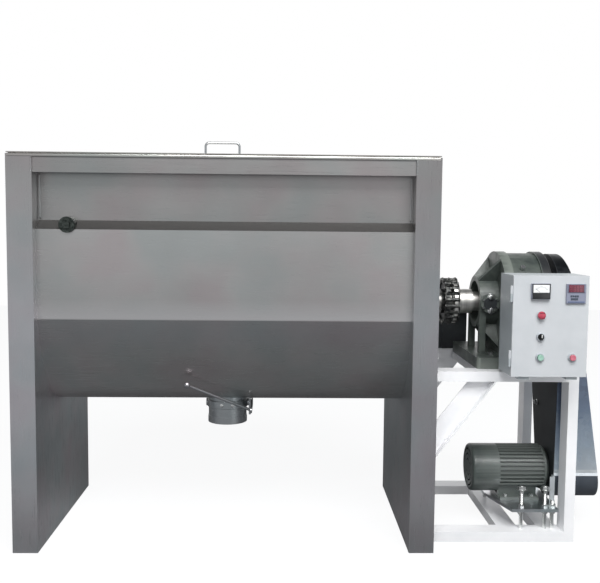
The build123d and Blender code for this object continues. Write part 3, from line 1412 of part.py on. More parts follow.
def controller():
    """Temperature controller with its keys under the display."""
    return instrument(CONTROLLER_X, CONTROLLER_Z, CONTROLLER_SIDE, CONTROLLER_SIDE, CONTROLLER_RISE)


def switch_places():
    """X and Z of lamp, selector, start and stop button."""
    column = BOX_X + SWITCH_X
    return (
        (column, BOX_Z + LAMP_Z),
        (column, BOX_Z + SELECTOR_Z),
        (column, BOX_Z + BUTTON_Z),
        (BOX_X + STOP_X, BOX_Z + BUTTON_Z),
    )


def switch_bodies():
    """Bezels and barrels of the lamp, the selector and both buttons."""
    bodies = []
    for x, z in switch_places():
        bezel = rod_y(BEZEL_RADIUS, DOOR_Y - BEZEL_RISE, DOOR_Y, x, z)
        bezel = chamfer(bezel.edges().group_by(Axis.Y)[0], BEZEL_RISE / 3)
        barrel = rod_y(SWITCH_BARREL, DOOR_Y, DOOR_Y + SWITCH_DEPTH, x, z)
        bore = rod_y(SWITCH_BORE, DOOR_Y - BEZEL_RISE - 1, DOOR_Y + SWITCH_DEPTH - BEZEL_RISE, x, z)
        bodies.append(bezel + barrel - bore)
    return group(*bodies)


def button_cap(x, z):
    """Round cap that slides in its bezel."""
    front = DOOR_Y - BEZEL_RISE - CAP_RISE
    cap = rod_y(CAP_RADIUS, front, front + CAP_RISE + CAP_DEPTH, x, z)
    return chamfer(cap.edges().group_by(Axis.Y)[0], CAP_RISE / 7)


def signal_lamp():
    """Domed lens held in its bezel."""
    x, z = switch_places()[0]
    front = DOOR_Y - BEZEL_RISE - CAP_RISE
    lens = rod_y(SWITCH_BORE - SEAT_GAP, front, DOOR_Y + CAP_DEPTH, x, z)
    return fillet(lens.edges().group_by(Axis.Y)[0], CAP_RISE * 0.6)


def selector_switch():
    """Rotary knob with a raised grip."""
    x, z = switch_places()[1]
    face = DOOR_Y - BEZEL_RISE
    knob = rod_y(CAP_RADIUS, face - CAP_RISE / 2, face + CAP_DEPTH, x, z)
    tip = face - 2 * CAP_RISE
    half = CAP_RADIUS / 3
    grip = box(x - half, x + half, tip, face, z - CAP_RADIUS, z + CAP_RADIUS)
    grip &= rod_y(CAP_RADIUS, tip, face, x, z)
    return knob + grip


def hinge_heights():
    """Middle heights of the two door hinges."""
    middle = BOX_Z + BOX_HEIGHT / 2
    return (middle - BOX_HINGE_SPACING / 2, middle + BOX_HINGE_SPACING / 2)


def box_hinges():
    """Lower hinge knuckles on the case with the pins standing in them."""
    pieces = []
    for z in hinge_heights():
        low = z - BOX_HINGE_LENGTH / 2
        knuckle = rod_z(BOX_KNUCKLE_RADIUS, low, z, BOX_HINGE_X, BOX_HINGE_Y)
        leaf = box(
            BOX_X - BOX_WALL,
            BOX_X,
            BOX_HINGE_Y,
            BOX_Y + BOX_HINGE_LENGTH / 3,
            low,
            z,
        )
        pin = rod_z(BOX_PIN_RADIUS, low, z + BOX_HINGE_LENGTH / 2, BOX_HINGE_X, BOX_HINGE_Y)
        pieces.append(knuckle + leaf + pin)
    return group(*pieces)


def door_knuckles():
    """Upper hinge knuckles on the door."""
    pieces = []
    for z in hinge_heights():
        low = z + FACE_GAP
        high = z + BOX_HINGE_LENGTH / 2
        knuckle = rod_z(BOX_KNUCKLE_RADIUS, low, high, BOX_HINGE_X, BOX_HINGE_Y)
        leaf = box(BOX_HINGE_X, BOX_X, BOX_HINGE_Y - BOX_WALL, BOX_HINGE_Y + BOX_WALL, low, high)
        bore = rod_z(BOX_PIN_RADIUS + RUNNING_GAP, low - 1, high + 1, BOX_HINGE_X, BOX_HINGE_Y)
        pieces.append(knuckle + leaf - bore)
    return group(*pieces)


def control_gear():
    """Mounting plate with a contactor, a breaker and a terminal strip."""
    back = BOX_BACK - BOX_WALL
    x0 = BOX_X + GEAR_PLATE_INSET
    x1 = BOX_X + BOX_WIDTH - GEAR_PLATE_INSET
    z0 = BOX_Z + GEAR_PLATE_INSET
    z1 = BOX_Z + BOX_HEIGHT - GEAR_PLATE_INSET
    face = back - GEAR_PLATE_THICK
    row = z0 + GEAR_ROW_Z
    low = z0 + TERMINAL_ROW_Z
    contactor_x = x0 + CONTACTOR_X
    breaker_x = x0 + BREAKER_X
    inset = TERMINAL_ROW_INSET
    plate = box(x0, x1, face, back, z0, z1)
    contactor = box(
        contactor_x,
        contactor_x + CONTACTOR_WIDE,
        face - CONTACTOR_DEEP,
        face,
        row,
        row + CONTACTOR_HIGH,
    )
    breaker = box(
        breaker_x,
        breaker_x + BREAKER_WIDE,
        face - BREAKER_DEEP,
        face,
        row,
        row + BREAKER_HIGH,
    )
    strip = box(x0 + inset, x1 - inset, face - TERMINAL_ROW_HIGH, face, low, low + TERMINAL_ROW_HIGH)
    return group(plate, contactor, breaker, strip)


# Node list


def build_nodes():
    """Every node of the machine by name."""
    right_frame = end_frame()
    bearing = end_bearing()
    gland = shaft_gland()
    outer = ribbon(OUTER_RIBBON_RADIUS, OUTER_RIBBON_WIDTH, 0, False)
    inner = ribbon(INNER_RIBBON_RADIUS, INNER_RIBBON_WIDTH, 180, True)
    nodes = {
        "left_end_frame": mirrored(right_frame),
        "right_end_frame": right_frame,
        "trough_shell": trough_shell(),
        "jacket_shell": jacket_shell(),
        "jacket_socket": jacket_socket(),
        "socket_plug": socket_plug(),
        "top_rails": top_rails(),
        "lid_seal": lid_seal(),
        "lid_plate": lid_plate(),
        "lid_stiffeners": lid_stiffeners(),
        "lid_handle": lid_handle(),
        "lid_hinge_brackets": lid_hinge_brackets(),
        "lid_hinge_pins": lid_hinge_pins(),
        "lid_hinge_straps": lid_hinge_straps(),
        "outlet_spout": outlet_spout(),
        "outlet_collar": outlet_collar(),
        "outlet_flap": outlet_flap(),
        "outlet_lever": outlet_lever(),
        "main_shaft": main_shaft(),
        "outer_ribbons": group(outer, mirrored(outer)),
        "inner_ribbons": group(inner, mirrored(inner)),
        "ribbon_spokes": spokes(),
        "end_bearings": group(bearing, mirrored(bearing)),
        "shaft_glands": group(gland, mirrored(gland)),
        "shaft_sprocket": sprocket(-1, SHAFT_HUB_LENGTH, SHAFT_RADIUS),
        "drive_sprocket": sprocket(1, DRIVE_HUB_LENGTH, OUTPUT_RADIUS),
        "coupling_chain": coupling_chain(),
        "output_shaft": output_shaft(),
        "coupling_guard": coupling_guard(),
        "coupling_guard_bar": coupling_guard_bar(),
        "reducer_frame": reducer_frame(),
        "reducer_bearing_cap": bearing_cap(),
        "reducer_side_cover": side_cover(),
        "reducer_bolts": reducer_bolts(),
        "reducer_drum": reducer_drum(),
        "reducer_plug": drum_plug(),
        "reducer_input_cover": input_cover(),
        "input_shaft": input_shaft(),
        "large_pulley": large_pulley(),
        "v_belts": v_belts(),
        "guard_cover": guard_cover(),
        "guard_foot": guard_foot(),
        "guard_back_plate": guard_back_plate(),
        "guard_brackets": guard_brackets(),
        "motor_housing": motor_housing(),
        "motor_end_shield": motor_end_shield(),
        "motor_fan_cover": motor_fan_cover(),
        "motor_terminal_box": motor_terminal_box(),
        "motor_rotor": group(motor_shaft(), small_pulley(), motor_fan()),
        "motor_plate": group(motor_plate(), plate_knuckles()),
        "motor_adjusters": group(adjuster_rods(), motor_bolts(), plate_hinge()),
        "frame_rails": frame_rails(),
        "frame_posts": frame_posts(),
        "frame_braces": frame_braces(),
        "control_case": group(control_box(), box_bars(), box_hinges(), control_gear()),
        "control_door": group(control_door(), door_knuckles(), switch_bodies()),
        "panel_instruments": group(meter(), controller(), signal_lamp()),
        "selector_switch": selector_switch(),
        "start_button": button_cap(*switch_places()[2]),
        "stop_button": button_cap(*switch_places()[3]),
    }
    return nodes


NODES = build_nodes()
BOUNDS = Compound([solid for shape in NODES.values() for solid in shape.solids()]).bounding_box()
SHIFT_X = -(BOUNDS.min.X + BOUNDS.max.X) / 2
SHIFT_Y = -(BOUNDS.min.Y + BOUNDS.max.Y) / 2

for name, shape in NODES.items():
    export_step(Pos(SHIFT_X, SHIFT_Y, 0) * shape, "parts/" + name + ".step")
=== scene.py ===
from math import atan2, cos, pi, radians, sin

import bmesh
import bpy
from mathutils import Matrix, Vector


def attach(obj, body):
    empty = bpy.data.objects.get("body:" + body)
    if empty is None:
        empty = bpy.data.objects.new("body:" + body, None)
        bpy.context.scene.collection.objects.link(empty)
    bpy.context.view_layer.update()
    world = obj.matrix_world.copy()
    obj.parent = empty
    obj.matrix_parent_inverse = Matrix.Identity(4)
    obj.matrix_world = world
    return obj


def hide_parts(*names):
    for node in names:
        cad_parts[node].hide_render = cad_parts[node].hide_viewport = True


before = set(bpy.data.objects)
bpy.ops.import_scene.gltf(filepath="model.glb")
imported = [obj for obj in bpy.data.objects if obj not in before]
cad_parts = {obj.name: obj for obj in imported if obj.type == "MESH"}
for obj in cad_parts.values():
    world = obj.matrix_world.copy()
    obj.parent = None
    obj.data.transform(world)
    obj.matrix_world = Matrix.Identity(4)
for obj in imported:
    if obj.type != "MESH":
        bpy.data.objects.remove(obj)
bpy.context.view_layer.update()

MM = 0.001
RIGHT = (1, 0, 0)
LEFT = (-1, 0, 0)
FRONT = (0, -1, 0)
BACK = (0, 1, 0)
UP = (0, 0, 1)
DOWN = (0, 0, -1)

# Machine coordinates are millimetres from the middle of the body's front face at floor level.
# These shift them to the row's frame. Places below are in machine coordinates unless a comment
# says otherwise.
SHIFT_X = -333.74
SHIFT_Y = -374.5

# Body
BODY_END = 800.0
BODY_DEPTH = 800.0
BODY_TOP = 1500.0
MID_Y = BODY_DEPTH / 2
WEB_X = 705.0
RAIL_BOTTOM = 1433.0
RAIL_BACK = 84.0
TROUGH_FACE = 80.0
JACKET_TOP = 1259.0
EDGE_THICK = 7.8
EDGE_PROUD = 0.8
EDGE_INSET = 4.0
EDGE_DROP = 12.0
EDGE_RISE = 1.0
EDGE_ROUNDING = 3.2
CORNER_BEAD = 4.5
RAIL_BEAD = 3.0
RIPPLE = 6.0
RIPPLE_SWELL = 0.12

# Hexagon heads: size across flats, height
STRAP_BOLT = (13.0, 6.0)
COLLAR_BOLT = (10.0, 6.0)
SIDE_COVER_BOLT = (19.0, 11.0)
LOOSE_NUT = (27.0, 13.0)

# Lid
HANDLE_XS = (-78.5, 48.5)
HANDLE_Y = 80.0
LID_TOP = 1507.0
HINGE_XS = (-550.0, 0.0, 550.0)
STRAP_BOLT_YS = (733.0, 768.0)
STRAP_TOP = 1511.0

# Chain coupling
SHAFT_HEIGHT = 935.0
COUPLING_X = 917.5
CHAIN_RADIUS = 89.2
CHAIN_PINS = 22
LINK_FACE = 29.2

# Outlet
OUTLET_X = -15.0
SPOUT_EDGE = 82.0
SPOUT_BEAD = 2.6
SPOUT_BEAD_ZS = (511.6, 484.4)
COLLAR_EDGE = 86.0
COLLAR_BOLT_XS = (-34.0, 10.0)
COLLAR_BOLT_Z = 498.0

# Drive
PLATE_TOP = 128.0
ADJUSTER_Y = 155.0
LONG_ADJUSTER_XS = (1181.0, 1276.0)
SHORT_ADJUSTER_X = 1306.0
LONG_RISE = 85.0
SHORT_RISE = 28.33
THREAD_START = 12.4
THREAD_PITCH = 2.4
THREAD_ROOT = 8.05
THREAD_CREST = 9.0
LOOSE_NUT_RISE = 71.0
SIDE_COVER_BOLTS = ((1068.5, 961.0), (1070.5, 908.0))
SIDE_COVER_Y = 284.0
LATCH_KNOB = (1326.5, 441.0, 493.0)
BOX_CAST = ((1155.0, 402.0, 236.0), (1261.0, 462.0, 296.0))
BOX_LID = ((1152.0, 456.0, 233.0), (1264.0, 468.0, 299.0))
BOX_SCREW_INSET = 7.0
GLAND_PLACE = (1185.0, 432.0, 236.0)

# Control door: (X, Z) of what it carries, and the Y of its faces
LAMP = (1165.0, 926.0)
SELECTOR = (1165.0, 846.0)
START = (1165.0, 770.0)
STOP = (1285.0, 770.0)
METER = (1159.5, 1014.5)
CONTROLLER = (1290.0, 1006.5)
DOOR_FRONT = -60.0
METER_BODY = -71.0
CARD_FRONT = -72.7
INK_FRONT = -72.9
NEEDLE_FRONT = -73.1
METER_RIM_FRONT = -74.0
METER_COVER_FRONT = -75.0
CONTROLLER_BODY = -68.0
CONTROLLER_FRONT = -70.2
DIGIT_FRONT = -71.0

# Ammeter scale: angles in degrees from the right
SCALE_START = 40
MARK_STEP = 10
MARKS = 11
ARC_STEP = 5
ARC_RADIUS = 25.0
LONG_MARK = (25.0, 30.0)
SHORT_MARK = (26.5, 29.0)
NEEDLE_ANGLE = 136
NEEDLE_LENGTH = 27.0
MARK_WIDTH = 0.7
ARC_WIDTH = 0.4
NEEDLE_WIDTH = 0.5
INK_THICK = 0.6
NEEDLE_THICK = 0.7

# Controller front
DIGIT_ROWS = (26.0, 13.0)
DIGIT_PLACES = 4
DIGIT_PITCH = 12.0
DIGIT_WIDTH = 5.5
DIGIT_HEIGHT = 8.0
SEGMENT_WIDTH = 1.0
SEGMENT_THICK = 0.5
KEYS = 4
KEY_PITCH = 8.0
KEY_WIDTH = 6.4

# Switches
BEZEL_BORE = 11.7
LENS_RADIUS = 15.2
LENS_RIB = 3.4
LENS_RIB_OFFSET = 9.75
LENS_RIB_FRONT = DOOR_FRONT - 17.4
POINTER_WIDTH = 2.6
POINTER_FRONT = DOOR_FRONT - 20.4
CAP_FRONT = DOOR_FRONT - 13.0

# Where finishes and painted light change, in the row's metres
CREASE_LOW, CREASE_HIGH = 0.887, 0.892
RUBBED_HIGH, RUBBED_TOP = 0.895, 0.965
FOOT_SEAM_LOW, FOOT_SEAM_HIGH = 0.236, 0.238
LAP_LOW, LAP_HIGH = 0.262, 0.264
SOOT_LOW, SOOT_HIGH = 0.25, 1.12
DRUM_BELL_START, DRUM_BELL_FULL = 0.928, 0.932

# Sizes of the finishes' patterns
CLOUDS = 420.0
PICKLE_FILM = 260.0
STAINS = 90.0
TUBE_WAVES = 80.0
SMEARS = 130.0
TURNED_BANDS = 14.0
GRIME = 60.0
OIL_FILM = 12.0
SPANGLES = 18.0
ZINC_CLOUDS = 160.0
COAT_DUST = 110.0
RUBBER_DUST = 25.0

# Patterns that are finer on the real machine, drawn as coarse as they need to be to show
GRIND_LINES = 2.2
TURNED_RINGS = 1.6
SAND = 4.0
ORANGE_PEEL = 1.6
PLASTIC_GRAIN = 1.0

# How far the lines of a sheet's finish run along X, Y and Z, against their width
LENGTHWISE = (60, 1, 1)
UPRIGHT = (1, 1, 60)

# Most of a noise texture's values lie between these
NOISE_RANGE = {"From Min": 0.25, "From Max": 0.75}

# Faces that meet at more than this keep a sharp edge
SHARP_ANGLE = radians(38)

# Camera, in the row's metres
CAMERA_PLACE = (-0.12374, -3.3415, 1.240)
CAMERA_YAW = radians(1.33)
CAMERA_DOWN = radians(4.58)
CAMERA_ROLL = radians(0.54)
CAMERA_LENS = 48.05
CAMERA_SENSOR = 36.0

# Studio, in the row's metres
FLOOR_FRONT = -0.95
FLOOR_BACK = 9.0
FLOOR_HALF = 9.0
FLOOR_GLOW = 0.9
MIRRORED_GLOW = 0.03
BOUNCED_GLOW = 0.18
ROOM_GLOW = 1.25
SOFTBOX_PLACE = (0.6, -4.3, 5.4)
SOFTBOX_SIZE = (5.0, 3.0)
SOFTBOX_POWER = 455.0
SOFTBOX_AIM = (0.1, 0.0, 0.75)
FILL_PLACE = (2.5, -3.1, 0.7)
FILL_SIZE = (1.4, 1.4)
FILL_POWER = 7.0
FILL_AIM = (0.95, 0.1, 0.5)


# Node helpers


def linear(hex_colour):
    """sRGB hex to the linear colour that a socket takes."""
    channels = [int(hex_colour[i : i + 2], 16) / 255 for i in (1, 3, 5)]
    values = [c / 12.92 if c <= 0.04045 else ((c + 0.055) / 1.055) ** 2.4 for c in channels]
    return (*values, 1.0)


def feed(tree, socket, value):
    """Links an output to a socket, or sets the socket to a value."""
    if isinstance(value, bpy.types.NodeSocket):
        tree.links.new(value, socket)
    else:
        socket.default_value = value


def add(tree, kind, output, sockets=None, stops=(), **settings):
    """One shader node with its settings, links, values and colour stops; gives one of its outputs."""
    made = tree.nodes.new("ShaderNode" + kind)
    for name, value in settings.items():
        setattr(made, name, value)
    for name, value in (sockets or {}).items():
        feed(tree, made.inputs[name], value)
    for index, (position, colour) in enumerate(stops):
        elements = made.color_ramp.elements
        element = elements[index] if index < 2 else elements.new(position)
        element.position, element.color = position, linear(colour)
    return made.outputs[output]


def material(name):
    """New material, its node tree, and the piece's own coordinates in metres."""
    made = bpy.data.materials.new(name)
    made.use_nodes = True
    return made, made.node_tree, add(made.node_tree, "TexCoord", "Object")


def uneven(tree, place, size, detail, run=(1, 1, 1), rough=0.55):
    """Uneven pattern with patches of a size in millimetres, drawn out along X, Y or Z."""
    scale = tuple(1 / times for times in run)
    drawn = add(tree, "Mapping", "Vector", {"Vector": place, "Scale": scale})
    sockets = {"Vector": drawn, "Scale": 1 / (size * MM), "Detail": detail, "Roughness": rough}
    return add(tree, "TexNoise", "Fac", sockets)


def mask(tree, kind, axis, start, end):
    """0 at start and 1 at end along an axis, even in between and held outside. The kind is Object
    for a place on the piece in metres, Normal for the way a face looks, and Generated for a
    direction in the world."""
    along = add(tree, "SeparateXYZ", axis, {"Vector": add(tree, "TexCoord", kind)})
    return add(tree, "MapRange", "Result", {"Value": along, "From Min": start, "From Max": end})


def surface(made, tones, rough, relief=None, **sockets):
    """Sets a material's shader: tones as a pattern and its (position, colour) stops, roughness as
    a pattern, low and high, relief as a pattern, millimetres and strength, and other sockets by
    their names, with an underscore for a space."""
    tree = made.node_tree
    pattern, *stops = tones
    sockets["Base_Color"] = add(tree, "ValToRGB", "Color", {"Fac": pattern}, stops)
    pattern, low, high = rough
    spread = {"Value": pattern, "To Min": low, "To Max": high, **NOISE_RANGE}
    sockets["Roughness"] = add(tree, "MapRange", "Result", spread)
    if relief:
        pattern, depth, strength = relief
        height = {"Height": pattern, "Distance": depth * MM, "Strength": strength}
        sockets["Normal"] = add(tree, "Bump", "Normal", height)
    shader = tree.nodes["Principled BSDF"]
    for name, value in sockets.items():
        feed(tree, shader.inputs[name.replace("_", " ")], value)


def cover(made, where, colour, **settings):
    """Lays a colour over the finish that a material has, as far as where goes from 0 to 1."""
    tree = made.node_tree
    base = tree.nodes["Principled BSDF"].inputs["Base Color"]
    sockets = {"Factor": where, "A": base.links[0].from_socket, "B": colour}
    feed(tree, base, add(tree, "Mix", "Result", sockets, data_type="RGBA", **settings))


# Shape helpers


def at(x, y, z):
    """A place in machine millimetres as a point of the row's frame."""
    return Vector(((x + SHIFT_X) * MM, (y + SHIFT_Y) * MM, z * MM))


def around(centre, radius, turn):
    """Point at a radius and an angle in radians round a centre, in the centre's own plane."""
    return centre[0] + radius * cos(turn), centre[1] + radius * sin(turn)


def paint(shape, old, finish=0):
    """Gives the faces made since old the piece's material of that number."""
    for face in shape.faces:
        if face not in old:
            face.material_index = finish
            face.smooth = True


def round_off(shape, verts, rounding, segments):
    """Rounds every edge of the form that these points belong to."""
    edges = list({edge for vert in verts for edge in vert.link_edges})
    bmesh.ops.bevel(
        shape,
        geom=edges,
        offset=rounding * MM,
        offset_type="OFFSET",
        affect="EDGES",
        segments=segments,
        profile=0.5,
        material=-1,
    )


def block(shape, low, high, rounding, finish=0):
    """Rounded block between two corners in machine millimetres."""
    old = set(shape.faces)
    verts = bmesh.ops.create_cube(shape, size=1)["verts"]
    start, end = at(*low), at(*high)
    bmesh.ops.scale(shape, vec=end - start, verts=verts)
    bmesh.ops.translate(shape, vec=(start + end) / 2, verts=verts)
    round_off(shape, verts, rounding, 3)
    paint(shape, old, finish)


def plate(shape, centre, sides, levels, faces, rounding, finish=0):
    """Rounded block on the door: sides and levels from a centre, faces as Y of front and back."""
    (x, z), (left, right), (low, high), (front, back) = centre, sides, levels, faces
    block(shape, (x + left, front, z + low), (x + right, back, z + high), rounding, finish)


def turned(shape, place, axis, profile, steps=32):
    """Turned form: (distance along the axis, radius) points spun once round the axis."""
    old = set(shape.faces)
    spot = at(*place)
    direction = Vector(axis).normalized()
    side = direction.orthogonal().normalized()
    points = [spot + (direction * along + side * radius) * MM for along, radius in profile]
    verts = [shape.verts.new(point) for point in points]
    edges = [shape.edges.new(pair) for pair in zip(verts, verts[1:])]
    bmesh.ops.spin(
        shape,
        geom=verts + edges,
        cent=spot,
        axis=direction,
        angle=2 * pi,
        steps=steps,
        use_merge=True,
    )
    bmesh.ops.remove_doubles(shape, verts=shape.verts, dist=1e-6)
    paint(shape, old)


def hexagon_head(shape, place, axis, flats, height):
    """Hexagon head with rounded edges, on a washer."""
    old = set(shape.faces)
    radius = flats / cos(pi / 6) / 2 * MM
    turn = Vector(UP).rotation_difference(Vector(axis)).to_matrix().to_4x4()
    centre = at(*place) + Vector(axis).normalized() * height / 2 * MM
    verts = bmesh.ops.create_cone(
        shape,
        cap_ends=True,
        segments=6,
        radius1=radius,
        radius2=radius,
        depth=height * MM,
        matrix=Matrix.Translation(centre) @ turn,
    )["verts"]
    round_off(shape, verts, flats * 0.05, 2)
    paint(shape, old)
    edge, top = flats * 0.8, flats * 0.74
    turned(shape, place, axis, [(0.1, 0), (0.1, edge), (1.4, edge), (1.8, top), (1.8, 0)])


def stroke(shape, start, end, width, front, depth, finish=0):
    """Flat bar in the door's plane between two (x, z) points, its front face at Y = front."""
    old = set(shape.faces)
    run = Vector((end[0] - start[0], 0, end[1] - start[1]))
    middle = at((start[0] + end[0]) / 2, front + depth / 2, (start[1] + end[1]) / 2)
    verts = bmesh.ops.create_cube(shape, size=1)["verts"]
    bmesh.ops.scale(shape, vec=Vector((run.length, depth, width)) * MM, verts=verts)
    turn = Matrix.Rotation(-atan2(run.z, run.x), 3, "Y")
    bmesh.ops.rotate(shape, cent=(0, 0, 0), matrix=turn, verts=verts)
    bmesh.ops.translate(shape, vec=middle, verts=verts)
    paint(shape, old, finish)


def bead(shape, start, end, radius):
    """Weld bead: a low rod with the ripples that a hand-held torch leaves."""
    run = Vector(end) - Vector(start)
    ripples = max(4, int(run.length / RIPPLE))
    profile = [(0, 0)]
    for step in range(ripples):
        along = run.length * (step + 0.5) / ripples
        swell = radius * (1.0 + RIPPLE_SWELL * (-1) ** step)
        profile.append((along, swell))
    profile.append((run.length, 0))
    turned(shape, start, run, profile, steps=8)


def piece(name, shape, body, slot, *finishes):
    """Turns a shape into a piece that rides on a body."""
    bmesh.ops.recalc_face_normals(shape, faces=shape.faces)
    mesh = bpy.data.meshes.new(name)
    shape.to_mesh(mesh)
    shape.free()
    mesh.set_sharp_from_angle(angle=SHARP_ANGLE)
    for finish in finishes:
        mesh.materials.append(finish)
    made = bpy.data.objects.new(name, mesh)
    bpy.context.scene.collection.objects.link(made)
    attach(made, body)
    return made


# Materials


def steel_sheet(name, dark, light, lay):
    """Cold-rolled stainless sheet, pickled or ground: dull grey with long soft clouds, a trace of
    green and pink from the pickling bath, and a fine lay of lines."""
    made, tree, place = material(name)
    clouds = uneven(tree, place, CLOUDS, 2.0)
    lines = uneven(tree, place, GRIND_LINES, 4.0, run=lay)
    stains = uneven(tree, place, STAINS, 5.0, rough=0.65)
    film = uneven(tree, place, PICKLE_FILM, 2.0)
    tones = (clouds, (0.32, dark), (0.68, light))
    surface(made, tones, (lines, 0.26, 0.33), (lines, 0.014, 1.0), Metallic=1.0)
    tints = ((0.34, "#F4FBF9"), (0.5, "#FEFEFC"), (0.66, "#FFF7F7"))
    tint = add(tree, "ValToRGB", "Color", {"Fac": film}, tints)
    cover(made, 1.0, tint, blend_type="MULTIPLY")
    stained = add(tree, "ValToRGB", "Color", {"Fac": stains}, ((0.35, dark), (0.65, light)))
    cover(made, 0.14, stained)
    return made


def frame_sheet(name, dark, light):
    """Pickled stainless sheet of the end frames, with painted shade: bright low down, darker towards
    the top.
    """
    made = steel_sheet(name, dark, light, UPRIGHT)
    tree = made.node_tree
    # Painted shade: the sheet's colour darkens from the floor up to the top.
    rise = mask(tree, "Object", "Z", 0.0, BODY_TOP * MM)
    tones = ((0.0, "#FFFFFF"), (0.55, "#F7F7F9"), (0.95, "#CECDCB"))
    cover(made, 1.0, add(tree, "ValToRGB", "Color", {"Fac": rise}, tones), blend_type="MULTIPLY")
    return made


def jacket_sheet():
    """Pickled stainless sheet of the jacket, with a painted highlight: a lighter band above the
    crease. Where it looks up, painted shade makes it darker, and it is also rougher."""
    made = steel_sheet("pickled_stainless_jacket", "#C8C6C6", "#D6D4D4", LENGTHWISE)
    tree = made.node_tree
    # Painted highlight: a lighter band above the crease stands in for the light along the bend.
    below_top = mask(tree, "Object", "Z", RUBBED_TOP, RUBBED_HIGH)
    above_crease = mask(tree, "Object", "Z", CREASE_LOW, CREASE_HIGH)
    band = add(tree, "Math", "Value", {0: below_top, 1: above_crease}, operation="MULTIPLY")
    cover(made, band, linear("#E2E0E0"))
    # Painted shade: faces that look up are darkened in colour, and they are also made rougher.
    dust = mask(tree, "Normal", "Z", 0.25, 0.6)
    cover(made, dust, linear("#5C5B5A"))
    roughness = tree.nodes["Principled BSDF"].inputs["Roughness"]
    sockets = {"Factor": dust, "A": roughness.links[0].from_socket, "B": 0.62}
    feed(tree, roughness, add(tree, "Mix", "Result", sockets))
    return made


def tube_steel():
    """Polished stainless tube in a white room: light and even, with faint smears. The white is in
    its colour, and its metallic is low, because this scene has no such room for it to mirror."""
    made, tree, place = material("polished_stainless_tube")
    waves = uneven(tree, place, TUBE_WAVES, 3.0)
    smears = uneven(tree, place, SMEARS, 3.0)
    tones = (smears, (0.3, "#F3F4F6"), (0.7, "#FEFEFF"))
    surface(made, tones, (smears, 0.3, 0.42), (waves, 0.02, 1.0), Metallic=0.05)
    return made


def machined_steel(name, dark, light, roughness):
    """Turned or plated steel: bright, with fine rings round its length."""
    made, tree, place = material(name)
    rings = uneven(tree, place, TURNED_RINGS, 2.0, run=(1, 60, 60))
    bands = uneven(tree, place, TURNED_BANDS, 1.0, run=(1, 60, 60))
    tones = (bands, (0.35, dark), (0.65, light))
    rough = (rings, roughness - 0.06, roughness + 0.08)
    surface(made, tones, rough, (rings, 0.05, 1.0), Metallic=1.0)
    return made


def painted_casting(name, dark, light, wear, roughness=0.42):
    """Brushed enamel on a sand casting: a pebbled skin, slightly glossy, darker where oil has
    settled and paler on worn edges."""
    made, tree, place = material(name)
    sand = uneven(tree, place, SAND, 3.0)
    grime = uneven(tree, place, GRIME, 5.0, rough=0.6)
    tones = (grime, (0.3, dark), (0.62, light))
    rough = (grime, roughness + 0.08, roughness - 0.08)
    surface(made, tones, rough, (sand, 0.25, 0.6), Coat_Weight=0.15, Coat_Roughness=0.3)
    corner = add(tree, "NewGeometry", "Pointiness")
    worn = add(tree, "MapRange", "Result", {"Value": corner, "From Min": 0.54, "From Max": 0.62})
    cover(made, worn, linear(wear))
    return made


def oily_steel(name, colour, sheen):
    """Carbon steel under old oil: near black, with lighter patches of painted sheen."""
    made, tree, place = material(name)
    film = uneven(tree, place, OIL_FILM, 4.0)
    # Painted sheen: the lighter tone stands in for light on the oil.
    tones = (film, (0.35, colour), (0.7, sheen))
    surface(made, tones, (film, 0.28, 0.5), (film, 0.15, 0.5), Metallic=0.85)
    return made


def galvanised():
    """Hot-dip zinc on sheet: blue-grey and spangled, with a painted reflection, pale at the bottom,
    where the lap is almost white, and dark towards the top."""
    made, tree, place = material("zinc_coated_sheet")
    cells = {"Vector": place, "Scale": 1 / (SPANGLES * MM)}
    grey = add(tree, "SeparateColor", "Red", {"Color": add(tree, "TexVoronoi", "Color", cells)})
    clouds = uneven(tree, place, ZINC_CLOUDS, 2.0)
    patches = add(tree, "Mix", "Result", {"Factor": 0.25, "A": clouds, "B": grey})
    spread = {"Value": patches, "To Min": -0.05, "To Max": 0.05, **NOISE_RANGE}
    patchy = add(tree, "MapRange", "Result", spread)
    # Painted reflection: the zinc goes from pale low down to near black at the top.
    rise = mask(tree, "Object", "Z", SOOT_LOW, SOOT_HIGH)
    soot = add(tree, "Math", "Value", {0: patchy, 1: rise}, operation="ADD")
    tones = (
        soot,
        (0.0, "#D6E0E8"),
        (0.12, "#B8C6D3"),
        (0.3, "#8291A6"),
        (0.5, "#666E80"),
        (0.7, "#4C4E57"),
        (0.86, "#2A2D30"),
    )
    surface(made, tones, (grey, 0.3, 0.44), Metallic=0.8)
    cover(made, mask(tree, "Object", "Z", LAP_HIGH, LAP_LOW), linear("#EEF3F6"))
    return made


def powder_coat(name, colour, shade, roughness=0.38):
    """Powder coat or enamel on sheet steel: even colour with a fine orange-peel skin."""
    made, tree, place = material(name)
    peel = uneven(tree, place, ORANGE_PEEL, 1.0)
    dust = uneven(tree, place, COAT_DUST, 4.0)
    rough = (peel, roughness - 0.04, roughness + 0.06)
    surface(made, (dust, (0.3, shade), (0.6, colour)), rough, (peel, 0.03, 0.5))
    return made


def foot_coat():
    """Black enamel on the guard's foot, with the lapped seam at its top left as bare bright zinc."""
    made = powder_coat("worn_black_enamel_foot", "#4A5058", "#3C424A", 0.45)
    bare = mask(made.node_tree, "Object", "Z", FOOT_SEAM_LOW, FOOT_SEAM_HIGH)
    cover(made, bare, linear("#E6ECF0"))
    return made


def drum_casting():
    """The reducer's green-grey enamel, with its end bell in black."""
    made = painted_casting("green_grey_and_black_enamel", "#353C3A", "#545B56", "#727872")
    bell = mask(made.node_tree, "Object", "X", DRUM_BELL_START, DRUM_BELL_FULL)
    cover(made, bell, linear("#26282A"))
    return made


